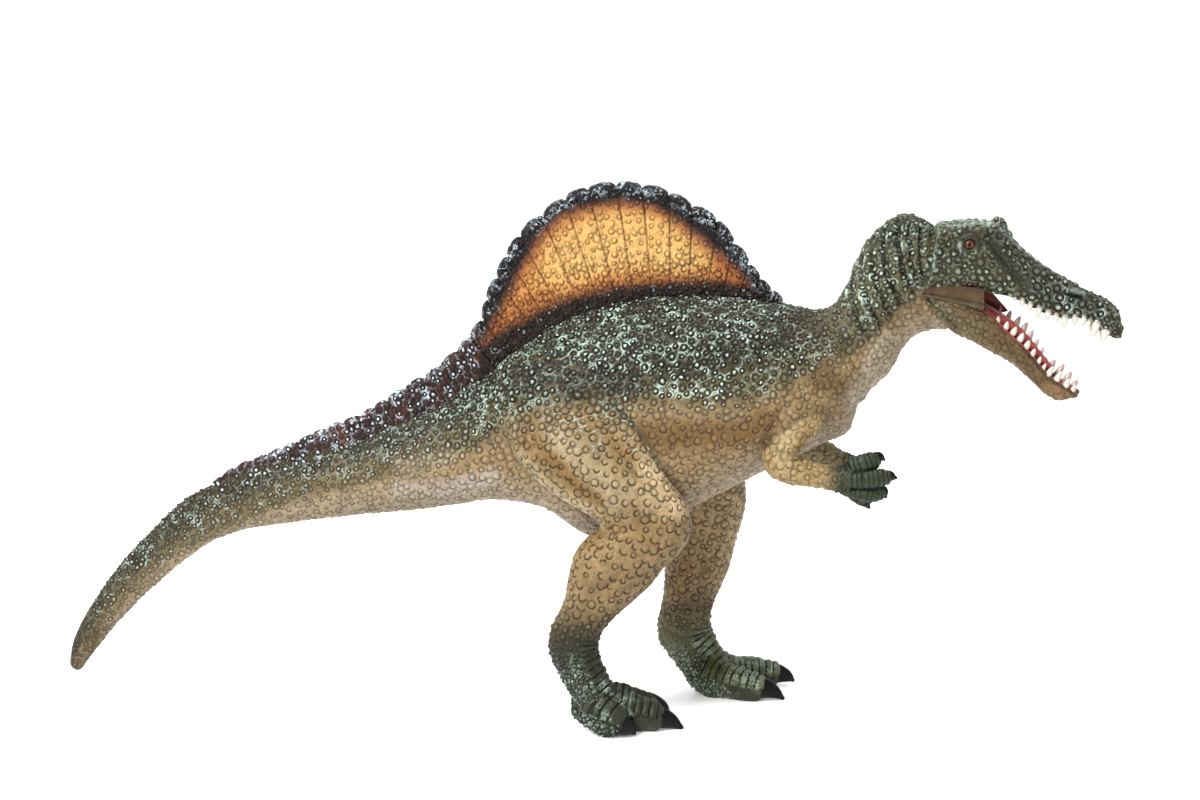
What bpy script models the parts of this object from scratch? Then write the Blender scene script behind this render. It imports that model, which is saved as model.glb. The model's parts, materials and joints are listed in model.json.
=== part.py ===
# Toy spinosaurus figure, moulded soft plastic, standing on its two feet.
#
# It is glued together from eight mouldings: the body (trunk, neck and tail in one), the sail with the crest
# that runs down the tail, the head with its upper teeth, the lower jaw with its teeth, two arms and two legs.
#
# Frame: +X towards the snout, +Y to the animal's left, +Z up, the origin on the floor under the middle of the
# figure's bounding box. Metres. The animal's right side faces -Y.
#
# The shapes are laid out on a side-view sheet, like a sculptor's profile drawing: u runs to the right, v runs
# down, four units to the millimetre. The sheet is drawn in perspective, as the figure looks from EYE_FAR in front
# of its right side and EYE_RISE above it, so a point also needs its sideways position y before it has a place.
import math

import bmesh
import bpy
import numpy as np

MM = 0.001
EYE_FAR = 708.0  # mm from the eye to the middle of the sheet
EYE_RISE = math.radians(10.0)
SHEET = 2833.0  # sheet units at one unit of distance
SHEET_MID = (600.0, 400.0)
SHEET_Z = 79.7  # mm, height of the sheet's middle over the floor
SHIFT = (-4.2, 0.7, 0.0)  # mm, from the sheet's middle to the origin under the bounding box
GAP = 0.3  # mm, the glue line between two mouldings
HEAD_TURN = math.radians(9.0)  # the head looks a little towards the animal's right
HEAD_PIVOT = (68.0, 0.0)  # mm, x and y of the upright line that the head turns about

CE, SE = math.cos(EYE_RISE), math.sin(EYE_RISE)
EYE = np.array([0.0, -EYE_FAR * CE, SHEET_Z + EYE_FAR * SE])


# ------------------------------------------------------------------ sheet to space
def on_plane(u, v, point, normal):
    """The place in space, in mm, of a sheet point that lies on an upright plane."""
    du, dv = (u - SHEET_MID[0]) / SHEET, (SHEET_MID[1] - v) / SHEET
    ray = np.array([du, CE + dv * SE, -SE + dv * CE])
    t = ((point - EYE) @ normal) / (ray @ normal)
    return EYE + t * ray


def pt(u, v, y=0.0):
    """A sheet point at a sideways position y."""
    return on_plane(u, v, np.array([0.0, y, 0.0]), np.array([0.0, 1.0, 0.0]))


def side_of(turn):
    """The sideways direction, to the animal's left, of a part that is turned to the right by this angle."""
    return np.array([math.sin(turn), math.cos(turn), 0.0])


def head_pt(u, v, off=0.0, turn=HEAD_TURN):
    """A sheet point on the head's own middle plane, or off it to the left."""
    n = side_of(turn)
    return on_plane(u, v, np.array([HEAD_PIVOT[0], HEAD_PIVOT[1], 0.0]) + off * n, n)


# ------------------------------------------------------------------ tables
# A row is one cross-section: (top u, top v, bottom u, bottom v, y of its middle, half-width in mm, egg, squareness,
# turn in degrees). egg above 0 is wider at the top and below 0 wider at the bottom; squareness 2 is an ellipse.
BODY = [
    (69, 657, 82, 664, 7.0, 1.4, 0.0, 2.0, 0),
    (71, 645, 89, 656, 6.8, 1.9, 0.0, 2.0, 0),
    (79, 623, 101, 640, 6.4, 2.4, 0.0, 2.0, 0),
    (94, 597, 119, 618, 5.8, 2.7, 0.0, 2.0, 0),
    (118, 564, 146, 591, 5.0, 3.1, 0.0, 2.0, 0),
    (149, 531, 179, 562, 4.0, 3.6, 0.0, 2.0, 0),
    (188, 497, 213, 541, 3.2, 4.2, -0.05, 2.0, 0),
    (232, 478, 247, 529, 2.4, 4.8, -0.08, 2.0, 0),
    (287, 461, 300, 521, 1.6, 5.4, -0.10, 2.0, 0),
    (350, 440, 358, 514, 0.8, 6.3, -0.12, 2.0, 0),
    (400, 420, 408, 510, 0.4, 7.3, -0.12, 2.0, 0),
    (441, 402, 450, 505, 0.1, 8.5, -0.12, 2.0, 0),
    (482, 377, 494, 499, 0.0, 10.4, -0.12, 2.05, 0),
    (520, 347, 543, 506, 0.0, 12.8, -0.12, 2.1, 0),
    (560, 323, 590, 534, 0.0, 15.2, -0.10, 2.15, 0),
    (602, 306, 645, 526, 0.0, 17.8, -0.08, 2.2, 0),
    (650, 297, 691, 505, 0.0, 20.4, -0.06, 2.2, 0),
    (700, 295, 738, 481, 0.0, 21.8, -0.04, 2.2, 0),
    (745, 298, 786, 457, 0.0, 20.8, -0.02, 2.15, 0),
    (781, 304, 823, 441, 0.0, 18.4, 0.0, 2.1, 0),
    (803, 309, 849, 429, 0.0, 16.2, 0.0, 2.05, 1),
    (822, 311, 858, 404, 0.0, 13.8, 0.0, 2.0, 1.5),
    (836, 305, 874, 387, 0.0, 12.2, 0.0, 2.0, 2),
    (847, 286, 891, 369, 0.0, 11.2, 0.0, 2.0, 3),
    (858, 258, 901, 350, 0.0, 10.6, 0.0, 2.0, 5),
    (872, 235, 911, 337, 0.0, 10.2, 0.0, 2.0, 6.5),
    (891, 220, 924, 331, 0.0, 9.9, 0.0, 2.0, 8),
    (912, 215, 942, 329, 0.0, 9.2, 0.0, 2.05, 9),
    (930, 229, 950, 325, 0.0, 7.6, 0.0, 2.1, 9),
    (940, 243, 953, 312, 0.0, 5.4, 0.0, 2.1, 9),
]
# The head's rows lie on its own turned plane; y is then the distance off that plane.
HEAD = [
    (936, 229, 925, 288, 0.0, 10.2, 0.02, 3.4, 9),
    (950, 223, 945, 287, 0.0, 10.7, 0.02, 3.2, 9),
    (968, 221, 967, 288, 0.0, 10.5, 0.02, 3.0, 9),
    (987, 222, 986, 291, 0.0, 9.5, 0.02, 2.8, 9),
    (1003, 227, 1000, 294, 0.0, 8.0, 0.0, 2.6, 9),
    (1017, 244, 1012, 297, 0.0, 6.6, -0.04, 2.5, 9),
    (1035, 260, 1027, 304, 0.0, 5.6, -0.08, 2.5, 9),
    (1056, 274, 1045, 312, 0.0, 4.9, -0.08, 2.6, 9),
    (1076, 285, 1063, 318, 0.0, 4.4, -0.05, 2.6, 9),
    (1093, 293, 1081, 318, 0.0, 4.5, 0.0, 2.5, 9),
    (1108, 301, 1094, 323, 0.0, 5.0, 0.0, 2.4, 9),
    (1118, 311, 1103, 331, 0.0, 4.6, 0.0, 2.3, 9),
    (1121, 323, 1112, 336, 0.0, 2.8, 0.0, 2.2, 9),
]
JAW = [
    (924, 290, 957, 331, 0.0, 9.6, 0.0, 3.6, 9),
    (946, 289, 965, 335, 0.0, 9.4, 0.0, 3.6, 9),
    (967, 291, 976, 341, 0.0, 8.6, 0.0, 3.6, 9),
    (985, 300, 986, 347, 0.0, 7.6, 0.02, 3.4, 9),
    (998, 315, 993, 351, 0.0, 6.6, 0.04, 3.2, 9),
    (1011, 329, 1000, 355, 0.0, 5.7, 0.08, 3.0, 9),
    (1024, 341, 1010, 361, 0.0, 5.0, 0.08, 2.9, 9),
    (1036, 354, 1023, 372, 0.0, 4.4, 0.05, 2.8, 9),
    (1046, 367, 1035, 384, 0.0, 4.1, 0.05, 2.8, 9),
    (1057, 376, 1046, 394, 0.0, 4.2, 0.05, 2.8, 9),
    (1067, 382, 1059, 400, 0.0, 4.1, 0.0, 2.6, 9),
    (1075, 388, 1070, 398, 0.0, 2.8, 0.0, 2.4, 9),
]
# The hollow between the rims of the lower jaw, down to the floor of the mouth.
MOUTH = [
    (972, 286, 970, 311, 0.0, 4.6, 0.0, 2.2, 9),
    (990, 296, 985, 322, 0.0, 4.0, 0.0, 2.2, 9),
    (1008, 312, 999, 336, 0.0, 3.1, 0.0, 2.2, 9),
    (1025, 329, 1014, 350, 0.0, 2.5, 0.0, 2.2, 9),
    (1041, 348, 1030, 367, 0.0, 2.1, 0.0, 2.2, 9),
    (1054, 363, 1044, 383, 0.0, 2.0, 0.0, 2.2, 9),
    (1065, 373, 1057, 391, 0.0, 1.8, 0.0, 2.2, 9),
]
# Legs: the rear edge and the front edge take the place of bottom and top.
RIGHT_LEG = [
    (640, 372, 508, 372, -6.0, 8.0, 0, 2.0, 0),
    (643, 398, 505, 415, -9.5, 10.0, 0, 2.1, 0),
    (647, 424, 513, 452, -12.6, 11.0, 0, 2.2, 0),
    (659, 455, 535, 478, -14.6, 11.0, 0, 2.2, 0),
    (675, 485, 562, 498, -16.4, 10.2, 0, 2.2, 0),
    (688, 508, 588, 513, -18.0, 9.2, 0, 2.2, 0),
    (692, 530, 601, 526, -19.0, 8.4, 0, 2.2, 0),
    (682, 550, 588, 537, -19.6, 8.0, 0, 2.2, 0),
    (665, 566, 575, 552, -20.0, 7.6, 0, 2.1, 0),
    (651, 584, 569, 572, -20.2, 7.1, 0, 2.1, 0),
    (633, 601, 566, 592, -20.2, 6.4, 0, 2.1, 0),
    (614, 618, 558, 613, -20.0, 5.6, 0, 2.1, 0),
    (601, 634, 549, 633, -19.8, 5.3, 0, 2.1, 0),
    (598, 650, 550, 654, -19.6, 5.4, 0, 2.2, 0),
    (602, 664, 559, 673, -19.5, 5.7, 0, 2.3, 0),
    (609, 680, 569, 690, -19.4, 6.2, 0, 2.4, 0),
    (616, 692, 583, 713, -19.5, 7.2, 0, 2.4, 0),
    (626, 704, 600, 732, -19.8, 7.7, 0, 2.6, 0),
]
LEFT_LEG = [
    (650, 360, 512, 372, 6.0, 8.0, 0, 2.0, 0),
    (668, 385, 520, 412, 9.5, 10.0, 0, 2.1, 0),
    (694, 410, 552, 446, 12.4, 11.0, 0, 2.2, 0),
    (718, 435, 592, 474, 14.2, 10.8, 0, 2.2, 0),
    (738, 462, 630, 500, 15.6, 10.0, 0, 2.2, 0),
    (746, 488, 655, 518, 16.6, 9.0, 0, 2.2, 0),
    (744, 512, 663, 536, 17.2, 8.2, 0, 2.2, 0),
    (737, 537, 665, 555, 17.6, 7.6, 0, 2.1, 0),
    (729, 568, 664, 580, 17.8, 7.0, 0, 2.1, 0),
    (717, 594, 662, 603, 17.8, 6.2, 0, 2.1, 0),
    (710, 617, 658, 622, 17.6, 5.4, 0, 2.1, 0),
    (713, 634, 659, 640, 17.4, 5.2, 0, 2.2, 0),
    (721, 648, 670, 655, 17.2, 5.5, 0, 2.3, 0),
    (729, 658, 682, 671, 17.0, 6.4, 0, 2.4, 0),
    (736, 666, 693, 684, 16.6, 7.6, 0, 2.4, 0),
    (742, 673, 703, 693.5, 16.2, 8.0, 0, 2.6, 0),
]
# Arms: the crook of the elbow takes the place of the top, and its point that of the bottom.
RIGHT_ARM = [
    (848, 385, 792, 375, -7.5, 5.6, 0, 2.0, 0),
    (838, 407, 785, 402, -11.0, 5.8, 0, 2.0, 0),
    (822, 427, 775, 425, -14.0, 5.4, 0, 2.0, 0),
    (807, 443, 765, 446, -16.2, 4.9, 0, 2.0, 0),
    (797, 454, 762, 464, -17.2, 4.5, 0, 2.1, 0),
    (799, 458, 771, 477, -17.6, 4.3, 0, 2.1, 0),
    (809, 461, 790, 484, -17.6, 4.0, 0, 2.1, 0),
    (824, 465, 812, 487, -17.3, 3.7, 0, 2.1, 0),
    (838, 465, 832, 491, -17.0, 3.5, 0, 2.1, 0),
    (850, 463, 848, 496, -16.6, 3.6, 0, 2.2, 0),
    (860, 464, 860, 498, -16.3, 3.2, 0, 2.2, 0),
]
LEFT_ARM = [
    (846, 380, 794, 370, 7.5, 5.6, 0, 2.0, 0),
    (838, 400, 788, 394, 11.0, 5.8, 0, 2.0, 0),
    (828, 417, 780, 416, 13.4, 5.4, 0, 2.0, 0),
    (820, 430, 775, 434, 15.0, 4.9, 0, 2.0, 0),
    (820, 437, 778, 448, 15.6, 4.5, 0, 2.1, 0),
    (828, 441, 796, 460, 15.4, 4.2, 0, 2.1, 0),
    (840, 449, 815, 471, 14.6, 3.7, 0, 2.1, 0),
    (852, 455, 836, 477, 13.6, 3.5, 0, 2.1, 0),
    (861, 460, 848, 483, 12.8, 3.5, 0, 2.1, 0),
]
# Fingers and toes: (u, v, y, half-height, half-width), then the claw: (u, v, y, radius) at its root, middle and tip.
RIGHT_FINGERS = [
    ([(852, 468, -17.6, 2.3, 2.2), (862, 464, -18.0, 2.3, 2.2), (871, 460.5, -17.6, 2.1, 2.0), (876, 460, -17.2, 1.7, 1.6)],
     [(874, 458.5, -17.2, 1.1), (879, 457.5, -17.0, 0.9), (882, 459.5, -16.8, 0.3)]),
    ([(850, 479, -18.4, 2.3, 2.3), (863, 479, -19.0, 2.4, 2.4), (877, 478, -18.6, 2.3, 2.3), (886, 477.5, -18.0, 1.7, 1.7)],
     [(885, 476, -18.0, 1.2), (891, 475.5, -17.8, 0.9), (895, 477.5, -17.6, 0.3)]),
    ([(850, 489, -17.0, 2.2, 2.3), (862, 491.5, -17.4, 2.3, 2.3), (872, 493, -17.0, 2.2, 2.2), (879, 493, -16.4, 1.7, 1.7)],
     [(878, 491.5, -16.4, 1.2), (883, 491, -16.2, 1.0), (884, 496, -16.0, 0.4)]),
    ([(853, 494, -14.8, 1.7, 1.7), (861, 498, -14.6, 1.6, 1.6)],
     [(860, 498, -14.6, 1.2), (865, 502, -14.4, 0.9), (868, 507, -14.2, 0.3)]),
]
LEFT_FINGERS = [
    ([(854, 467, 12.6, 2.1, 2.1), (862, 467, 12.0, 2.1, 2.1), (869, 469, 11.6, 1.9, 1.9), (873, 471, 11.4, 1.5, 1.5)],
     [(872, 471, 11.4, 1.0), (876, 475, 11.2, 0.8), (876, 479, 11.0, 0.3)]),
    ([(854, 473, 13.6, 2.1, 2.1), (864, 476, 13.2, 2.1, 2.1), (872, 480, 12.8, 1.7, 1.7)],
     [(871, 480, 12.8, 1.1), (875, 485, 12.6, 0.9), (874, 489, 12.4, 0.3)]),
    ([(850, 478, 11.8, 2.0, 2.0), (858, 484, 11.4, 2.0, 2.0), (863, 489, 11.0, 1.6, 1.6)],
     [(862, 489, 11.0, 1.1), (864, 493, 10.8, 0.8), (862, 497, 10.6, 0.3)]),
]
RIGHT_TOES = [
    ([(587, 706, -20.5, 4.4, 4.2), (598, 714, -23.0, 4.3, 4.0), (609, 719.5, -24.2, 4.2, 3.9), (618, 723.5, -24.8, 3.7, 3.5)],
     [(617, 723, -24.8, 3.1), (624, 725.5, -25.0, 2.7), (630, 730, -25.1, 1.7), (634, 733.5, -25.2, 0.5)]),
    ([(604, 704, -18.2, 4.8, 4.8), (622, 709.5, -18.3, 4.5, 4.5), (640, 713, -18.4, 4.3, 4.3), (656, 715.5, -18.5, 4.0, 3.9)],
     [(656, 715.5, -18.5, 3.4), (664, 717, -18.5, 2.9), (673, 721.5, -18.5, 1.9), (681, 727, -18.5, 0.6)]),
    ([(616, 700, -15.0, 4.2, 4.0), (630, 704, -12.6, 4.1, 3.9), (643, 706, -11.0, 3.9, 3.7), (651, 707, -10.5, 3.6, 3.4)],
     [(650, 705, -10.3, 2.9), (657, 707, -10.0, 2.4), (664, 712, -9.8, 1.6), (668, 716.5, -9.7, 0.5)]),
]
LEFT_TOES = [
    ([(702, 672, 14.5, 4.6, 4.2), (722, 679, 11.4, 4.4, 4.0), (742, 685, 9.0, 4.2, 3.8), (758, 689, 7.8, 3.7, 3.5)],
     [(758, 688, 7.8, 2.9), (768, 689, 7.6, 2.4), (776, 693.5, 7.4, 1.5), (782.5, 698, 7.3, 0.5)]),
    ([(722, 671, 18.2, 4.2, 4.0), (740, 673, 19.6, 3.9, 3.7), (758, 673, 20.6, 3.7, 3.5), (775, 674.5, 21.0, 3.4, 3.3)],
     [(775, 673.5, 21.0, 2.6), (783, 674.5, 21.0, 2.1), (789, 677.5, 21.0, 1.3), (793, 680, 21.0, 0.5)]),
    ([(722, 672, 20.0, 3.6, 3.6), (736, 671, 23.0, 3.4, 3.4), (747, 670, 25.2, 3.2, 3.2), (757, 670, 26.6, 3.0, 3.0)],
     [(757, 667, 26.6, 2.4), (764, 668.5, 27.1, 2.0), (770, 672, 27.4, 1.2), (774, 675.5, 27.6, 0.5)]),
]
# The sail's edge and its foot on the back, a pair at each notch between two of its spines, from the chest to the
# tail; then the crest of the tail goes on in the same way.
SAIL = [
    (783, 301, 779, 304), (771, 290, 765, 303), (760, 279, 752, 300), (748, 264, 738, 298), (733, 243, 722, 296),
    (717, 221, 706, 295), (692, 207, 688, 294), (669, 194, 670, 294), (642, 187, 652, 295), (616, 185, 634, 297),
    (588, 189, 617, 301), (565, 199, 600, 306), (543, 216, 583, 313), (520, 236, 567, 320), (508, 256, 552, 327),
    (497, 277, 538, 335), (488, 299, 524, 344), (483, 320, 510, 354), (470, 337, 495, 365), (458, 352, 480, 376),
    (440, 367, 463, 388), (425, 378, 445, 399), (405, 389, 425, 409), (387, 400, 405, 418), (374, 408, 390, 425),
    (360, 416, 373, 432), (343, 423, 355, 438), (327, 429, 337, 444), (313, 435, 320, 450), (299, 442, 303, 455),
    (283, 449, 287, 461), (268, 455, 271, 466), (253, 461, 255, 471), (236, 468, 238, 477), (222, 477, 224, 482),
    (212, 484, 214, 486),
]
# Teeth of the right-hand rows on the sheet: (root u, root v, tip u, tip v, root radius, distance off the middle).
UPPER_TEETH = [
    (1014.5, 296.5, 1014.0, 302.0, 0.48, 4.7), (1022.5, 299.5, 1021.5, 307.5, 0.62, 4.6),
    (1030.5, 303.0, 1029.0, 312.0, 0.66, 4.4), (1039.5, 307.0, 1037.0, 317.5, 0.78, 4.2),
    (1048.5, 311.0, 1046.5, 321.0, 0.76, 4.0), (1056.5, 314.5, 1054.5, 323.5, 0.70, 3.8),
    (1065.5, 316.0, 1063.0, 327.5, 0.84, 3.6), (1075.5, 316.0, 1073.5, 325.5, 0.74, 3.5),
    (1084.5, 316.5, 1082.5, 326.0, 0.66, 3.5), (1090.5, 318.5, 1088.0, 327.0, 0.56, 3.6),
    (1097.5, 321.0, 1091.5, 338.0, 1.05, 3.9), (1106.5, 328.0, 1101.5, 342.5, 1.15, 3.2),
]
LOWER_TEETH = [
    (997.5, 322.5, 999.5, 314.0, 0.60, 4.9), (1005.0, 329.0, 1009.5, 319.0, 0.70, 4.5),
    (1012.0, 334.5, 1018.5, 324.5, 0.78, 4.1), (1019.0, 341.0, 1025.5, 330.5, 0.82, 3.8),
    (1025.5, 348.0, 1031.5, 338.0, 0.76, 3.6), (1031.5, 355.5, 1037.0, 346.5, 0.66, 3.4),
    (1038.0, 363.0, 1042.5, 354.5, 0.56, 3.2), (1042.5, 369.5, 1047.5, 361.5, 0.54, 3.1),
    (1047.5, 375.5, 1056.0, 363.5, 0.80, 3.1), (1055.0, 381.5, 1065.0, 368.0, 0.84, 3.1),
    (1063.5, 388.0, 1072.5, 375.5, 0.84, 3.0), (1070.5, 392.5, 1078.5, 382.5, 0.78, 2.0),
]


# ------------------------------------------------------------------ curves and lofts
def smooth_rows(rows, at, step):
    """Rows along a smooth curve (Catmull-Rom by length) through the given ones, about a step apart."""
    rows, at = np.array(rows, float), np.array(at, float)
    gaps = np.maximum(np.linalg.norm(np.diff(at, axis=0), axis=1), 1e-6)
    slope = np.diff(rows, axis=0) / gaps[:, None]
    tangent = np.empty_like(rows)
    tangent[0], tangent[-1] = slope[0], slope[-1]
    before, after = gaps[:-1, None], gaps[1:, None]
    tangent[1:-1] = (slope[:-1] * after + slope[1:] * before) / (before + after)
    out = [rows[0]]
    for i, gap in enumerate(gaps):
        pieces = max(1, round(gap / step))
        for k in range(1, pieces + 1):
            s = k / pieces
            out.append(
                (2 * s**3 - 3 * s**2 + 1) * rows[i]
                + (s**3 - 2 * s**2 + s) * gap * tangent[i]
                + (3 * s**2 - 2 * s**3) * rows[i + 1]
                + (s**3 - s**2) * gap * tangent[i + 1]
            )
    return np.array(out)


def skin(rings, first, last):
    """Vertices and faces of a closed tube: rings of equally many points, and a point at each end."""
    rings = np.array(rings)
    n, m = rings.shape[:2]
    verts = np.vstack([rings.reshape(-1, 3), first, last])
    faces = []
    for i in range(n - 1):
        for j in range(m):
            k = (j + 1) % m
            faces.append((i * m + j, i * m + k, (i + 1) * m + k, (i + 1) * m + j))
    for j in range(m):
        k = (j + 1) % m
        faces.append((n * m, k, j))
        faces.append((n * m + 1, (n - 1) * m + j, (n - 1) * m + k))
    return verts, faces


def loft(table, step, m, on_head=False, grow=0.0, ends=(0.6, 0.6), cap=2):
    """A closed skin through the cross-sections of a table. ends gives how far each end bulges, as a share of its half-width."""
    rows = []
    for tu, tv, bu, bv, y, half, egg, square, turn in table:
        a = math.radians(turn)
        if on_head or turn:
            top, bottom = head_pt(tu, tv, y, a), head_pt(bu, bv, y, a)
        else:
            top, bottom = pt(tu, tv, y), pt(bu, bv, y)
        rows.append([*top, *bottom, half, egg, square, a])
    rows = np.array(rows)
    rows = smooth_rows(rows, (rows[:, :3] + rows[:, 3:6]) / 2, step)
    mid, up = (rows[:, :3] + rows[:, 3:6]) / 2, (rows[:, :3] - rows[:, 3:6]) / 2
    around = np.arange(m) * 2 * math.pi / m
    rings = []
    for i, row in enumerate(rows):
        half, egg, square, turn = row[6:10]
        a, b = np.cos(around), np.sin(around)
        r = (np.abs(a) ** square + np.abs(b) ** square) ** (-1 / square)
        a, b = a * r, b * r
        a = a * (1 + egg * b)
        height = np.linalg.norm(up[i])
        rings.append(mid[i] + np.outer(a * (half + grow), side_of(turn)) + np.outer(b * (1 + grow / height), up[i]))
    rings = np.array(rings)

    def end(i, j, bulge):
        out = mid[i] - mid[j]
        out /= np.linalg.norm(out)
        reach = bulge * rows[i, 6] + grow
        more = [
            mid[i] + (rings[i] - mid[i]) * math.cos(math.pi / 2 * k / (cap + 1)) + out * reach * math.sin(math.pi / 2 * k / (cap + 1))
            for k in range(1, cap + 1)
        ]
        return more, mid[i] + out * reach

    head, first = end(0, 1, ends[0])
    tail, last = end(-1, -2, ends[1])
    return skin([*head[::-1], *rings, *tail], first, last)


def digit(points, step, m, grow=0.0):
    """A finger or toe: a tube along points given as (u, v, y, half-height, half-width), round at both ends."""
    rows = np.array([[*pt(u, v, y), high + grow, wide + grow] for u, v, y, high, wide in points])
    rows = smooth_rows(rows, rows[:, :3], step)
    along = np.gradient(rows[:, :3], axis=0)
    around = np.arange(m) * 2 * math.pi / m
    rings = []
    for row, t in zip(rows, along):
        t = t / np.linalg.norm(t)
        side = np.cross([0, 0, 1], t)
        side /= np.linalg.norm(side)
        up = np.cross(t, side)
        rings.append(row[:3] + np.outer(np.cos(around) * row[4], side) + np.outer(np.sin(around) * row[3], up))
    first = rows[0, :3] - along[0] / np.linalg.norm(along[0]) * rows[0, 3] * 0.8
    last = rows[-1, :3] + along[-1] / np.linalg.norm(along[-1]) * rows[-1, 3] * 0.8

    def shrunk(ring, mid, end, s):
        return mid + (ring - mid) * math.sqrt(1 - s * s) + (end - mid) * s

    a = shrunk(rings[0], rows[0, :3], first, 0.7)
    b = shrunk(rings[-1], rows[-1, :3], last, 0.7)
    return skin([a, *rings, b], first, last)


def claw(points, step, m):
    """A curved cone along points given as (u, v, y, radius), whose last is the tip."""
    rows = np.array([[*pt(u, v, y), r] for u, v, y, r in points])
    rows = smooth_rows(rows, rows[:, :3], step)
    along = np.gradient(rows[:, :3], axis=0)
    around = np.arange(m) * 2 * math.pi / m
    rings = []
    for row, t in zip(rows, along):
        t = t / np.linalg.norm(t)
        side = np.cross([0, 0, 1], t)
        side /= np.linalg.norm(side)
        up = np.cross(t, side)
        rings.append(row[:3] + row[3] * (np.outer(np.cos(around), side) + np.outer(np.sin(around), up)))
    first = rows[0, :3] - along[0] / np.linalg.norm(along[0]) * rows[0, 3] * 0.8
    last = rows[-1, :3] + along[-1] / np.linalg.norm(along[-1]) * rows[-1, 3]
    return skin(rings, first, last)


def tooth(root, tip, radius, m):
    """A cone that starts a little inside the gum."""
    root, tip = np.array(root), np.array(tip)
    axis = (tip - root) / np.linalg.norm(tip - root)
    side = np.cross(axis, [0, 1, 0])
    side /= np.linalg.norm(side)
    other = np.cross(axis, side)
    around = np.arange(m) * 2 * math.pi / m
    ring = np.outer(np.cos(around), side) + np.outer(np.sin(around), other)
    length = np.linalg.norm(tip - root)
    rings = [root - axis * 1.0 + ring * radius, root + axis * 0.6 * length + ring * radius * 0.8]
    return skin(rings, root - axis * 1.2, tip)


def teeth(rows, m):
    """Both rows of teeth of one jaw: the right-hand ones from the sheet, and their mirror images in the head's plane."""
    made = []
    for ru, rv, tu, tv, radius, off in rows:
        root, tip = head_pt(ru, rv, -off), head_pt(tu, tv, -off)
        across = 2 * off * side_of(HEAD_TURN)
        made += [tooth(root, tip, radius, m), tooth(root + across, tip + across, radius, m)]
    return made


def fin(per_lobe, levels, thick, sink=3.2):
    """The sail and the crest: one upright plate with a round lobe at the end of each spine. It reaches down into the back by sink."""
    rim, foot = [], []
    for (ru, rv, fu, fv), (su, sv, gu, gv) in zip(SAIL, SAIL[1:]):
        for k in range(per_lobe):
            s = k / per_lobe
            a, b = pt(ru + (su - ru) * s, rv + (sv - rv) * s), pt(fu + (gu - fu) * s, fv + (gv - fv) * s)
            c, d = pt(ru, rv), pt(su, sv)
            out = np.cross(d - c, [0, 1, 0])
            out /= np.linalg.norm(out)
            out *= 1 if out[2] > 0 else -1
            bulge = 0.17 * np.linalg.norm(d - c) * math.sin(math.pi * s) ** 0.6 if 0 < s < 1 else 0.0
            rim.append(a + out * bulge)
            foot.append(b)
    rim.append(pt(*SAIL[-1][:2]))
    foot.append(pt(*SAIL[-1][2:]))
    rim, foot = np.array(rim), np.array(foot)
    n = len(rim)
    height = np.linalg.norm(rim - foot, axis=1)
    down = np.array([0.0, 0.0, -1.0])
    sides = []
    for sign in (-1, 1):
        grid = []
        for k in range(levels + 1):
            h = k / levels
            line = foot + down * sink if k == 0 else foot + (rim - foot) * ((k - 1) / (levels - 1))
            if k == 0:
                wide = thick[0]
            else:
                wide = np.interp(h, [0, 0.35, 0.8, 1.0], thick)
            if k == levels:
                line = rim - (rim - foot) / np.maximum(height, 1e-6)[:, None] * np.minimum(0.35, height * 0.2)[:, None]
            w = np.minimum(wide, 0.5 + 0.30 * height)
            grid.append(line + np.outer(w * sign, [0, 1, 0]))
        sides.append(np.array(grid))
    left, right = sides
    verts = np.vstack([left.reshape(-1, 3), right.reshape(-1, 3), rim])
    rows, faces = levels + 1, []
    back = rows * n
    top = 2 * rows * n
    for k in range(rows - 1):
        for i in range(n - 1):
            faces.append((k * n + i, k * n + i + 1, (k + 1) * n + i + 1, (k + 1) * n + i))
            faces.append((back + k * n + i, back + (k + 1) * n + i, back + (k + 1) * n + i + 1, back + k * n + i + 1))
    for i in range(n - 1):
        faces.append((i, back + i, back + i + 1, i + 1))
        faces.append(((rows - 1) * n + i, (rows - 1) * n + i + 1, top + i + 1, top + i))
        faces.append((back + (rows - 1) * n + i, top + i, top + i + 1, back + (rows - 1) * n + i + 1))
    for i in (0, n - 1):
        edge = [k * n + i for k in range(rows)] + [top + i] + [back + k * n + i for k in range(rows - 1, -1, -1)]
        faces.append(tuple(edge if i else edge[::-1]))
    return verts, faces


# ------------------------------------------------------------------ objects
def clear():
    for obj in list(bpy.data.objects):
        bpy.data.objects.remove(obj, do_unlink=True)


def make(name, shape, helper=False):
    """A mesh object from vertices in mm and faces, with its faces turned outwards."""
    verts, faces = shape
    mesh = bpy.data.meshes.new(name)
    mesh.from_pydata([tuple((np.array(v) - SHIFT) * MM) for v in verts], [], [tuple(int(i) for i in f) for f in faces])
    bm = bmesh.new()
    bm.from_mesh(mesh)
    bmesh.ops.triangulate(bm, faces=[f for f in bm.faces if len(f.verts) > 4])
    bmesh.ops.recalc_face_normals(bm, faces=bm.faces)
    bm.to_mesh(mesh)
    bm.free()
    mesh.shade_smooth()
    obj = bpy.data.objects.new(name, mesh)
    bpy.context.scene.collection.objects.link(obj)
    if helper:
        obj.hide_render = True
        obj.display_type = "WIRE"
    return obj


def block(name, low, high):
    """A plain box, as a cutter."""
    (a, b, c), (d, e, f) = low, high
    verts = [(a, b, c), (d, b, c), (d, e, c), (a, e, c), (a, b, f), (d, b, f), (d, e, f), (a, e, f)]
    faces = [(0, 3, 2, 1), (4, 5, 6, 7), (0, 1, 5, 4), (1, 2, 6, 5), (2, 3, 7, 6), (3, 0, 4, 7)]
    return make(name, (np.array(verts, float) + SHIFT, faces), helper=True)


def boolean(obj, other, operation):
    modifier = obj.modifiers.new(f"{operation.lower()}_{other.name}", "BOOLEAN")
    modifier.operation = operation
    modifier.object = other
    modifier.solver = "EXACT"


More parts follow.
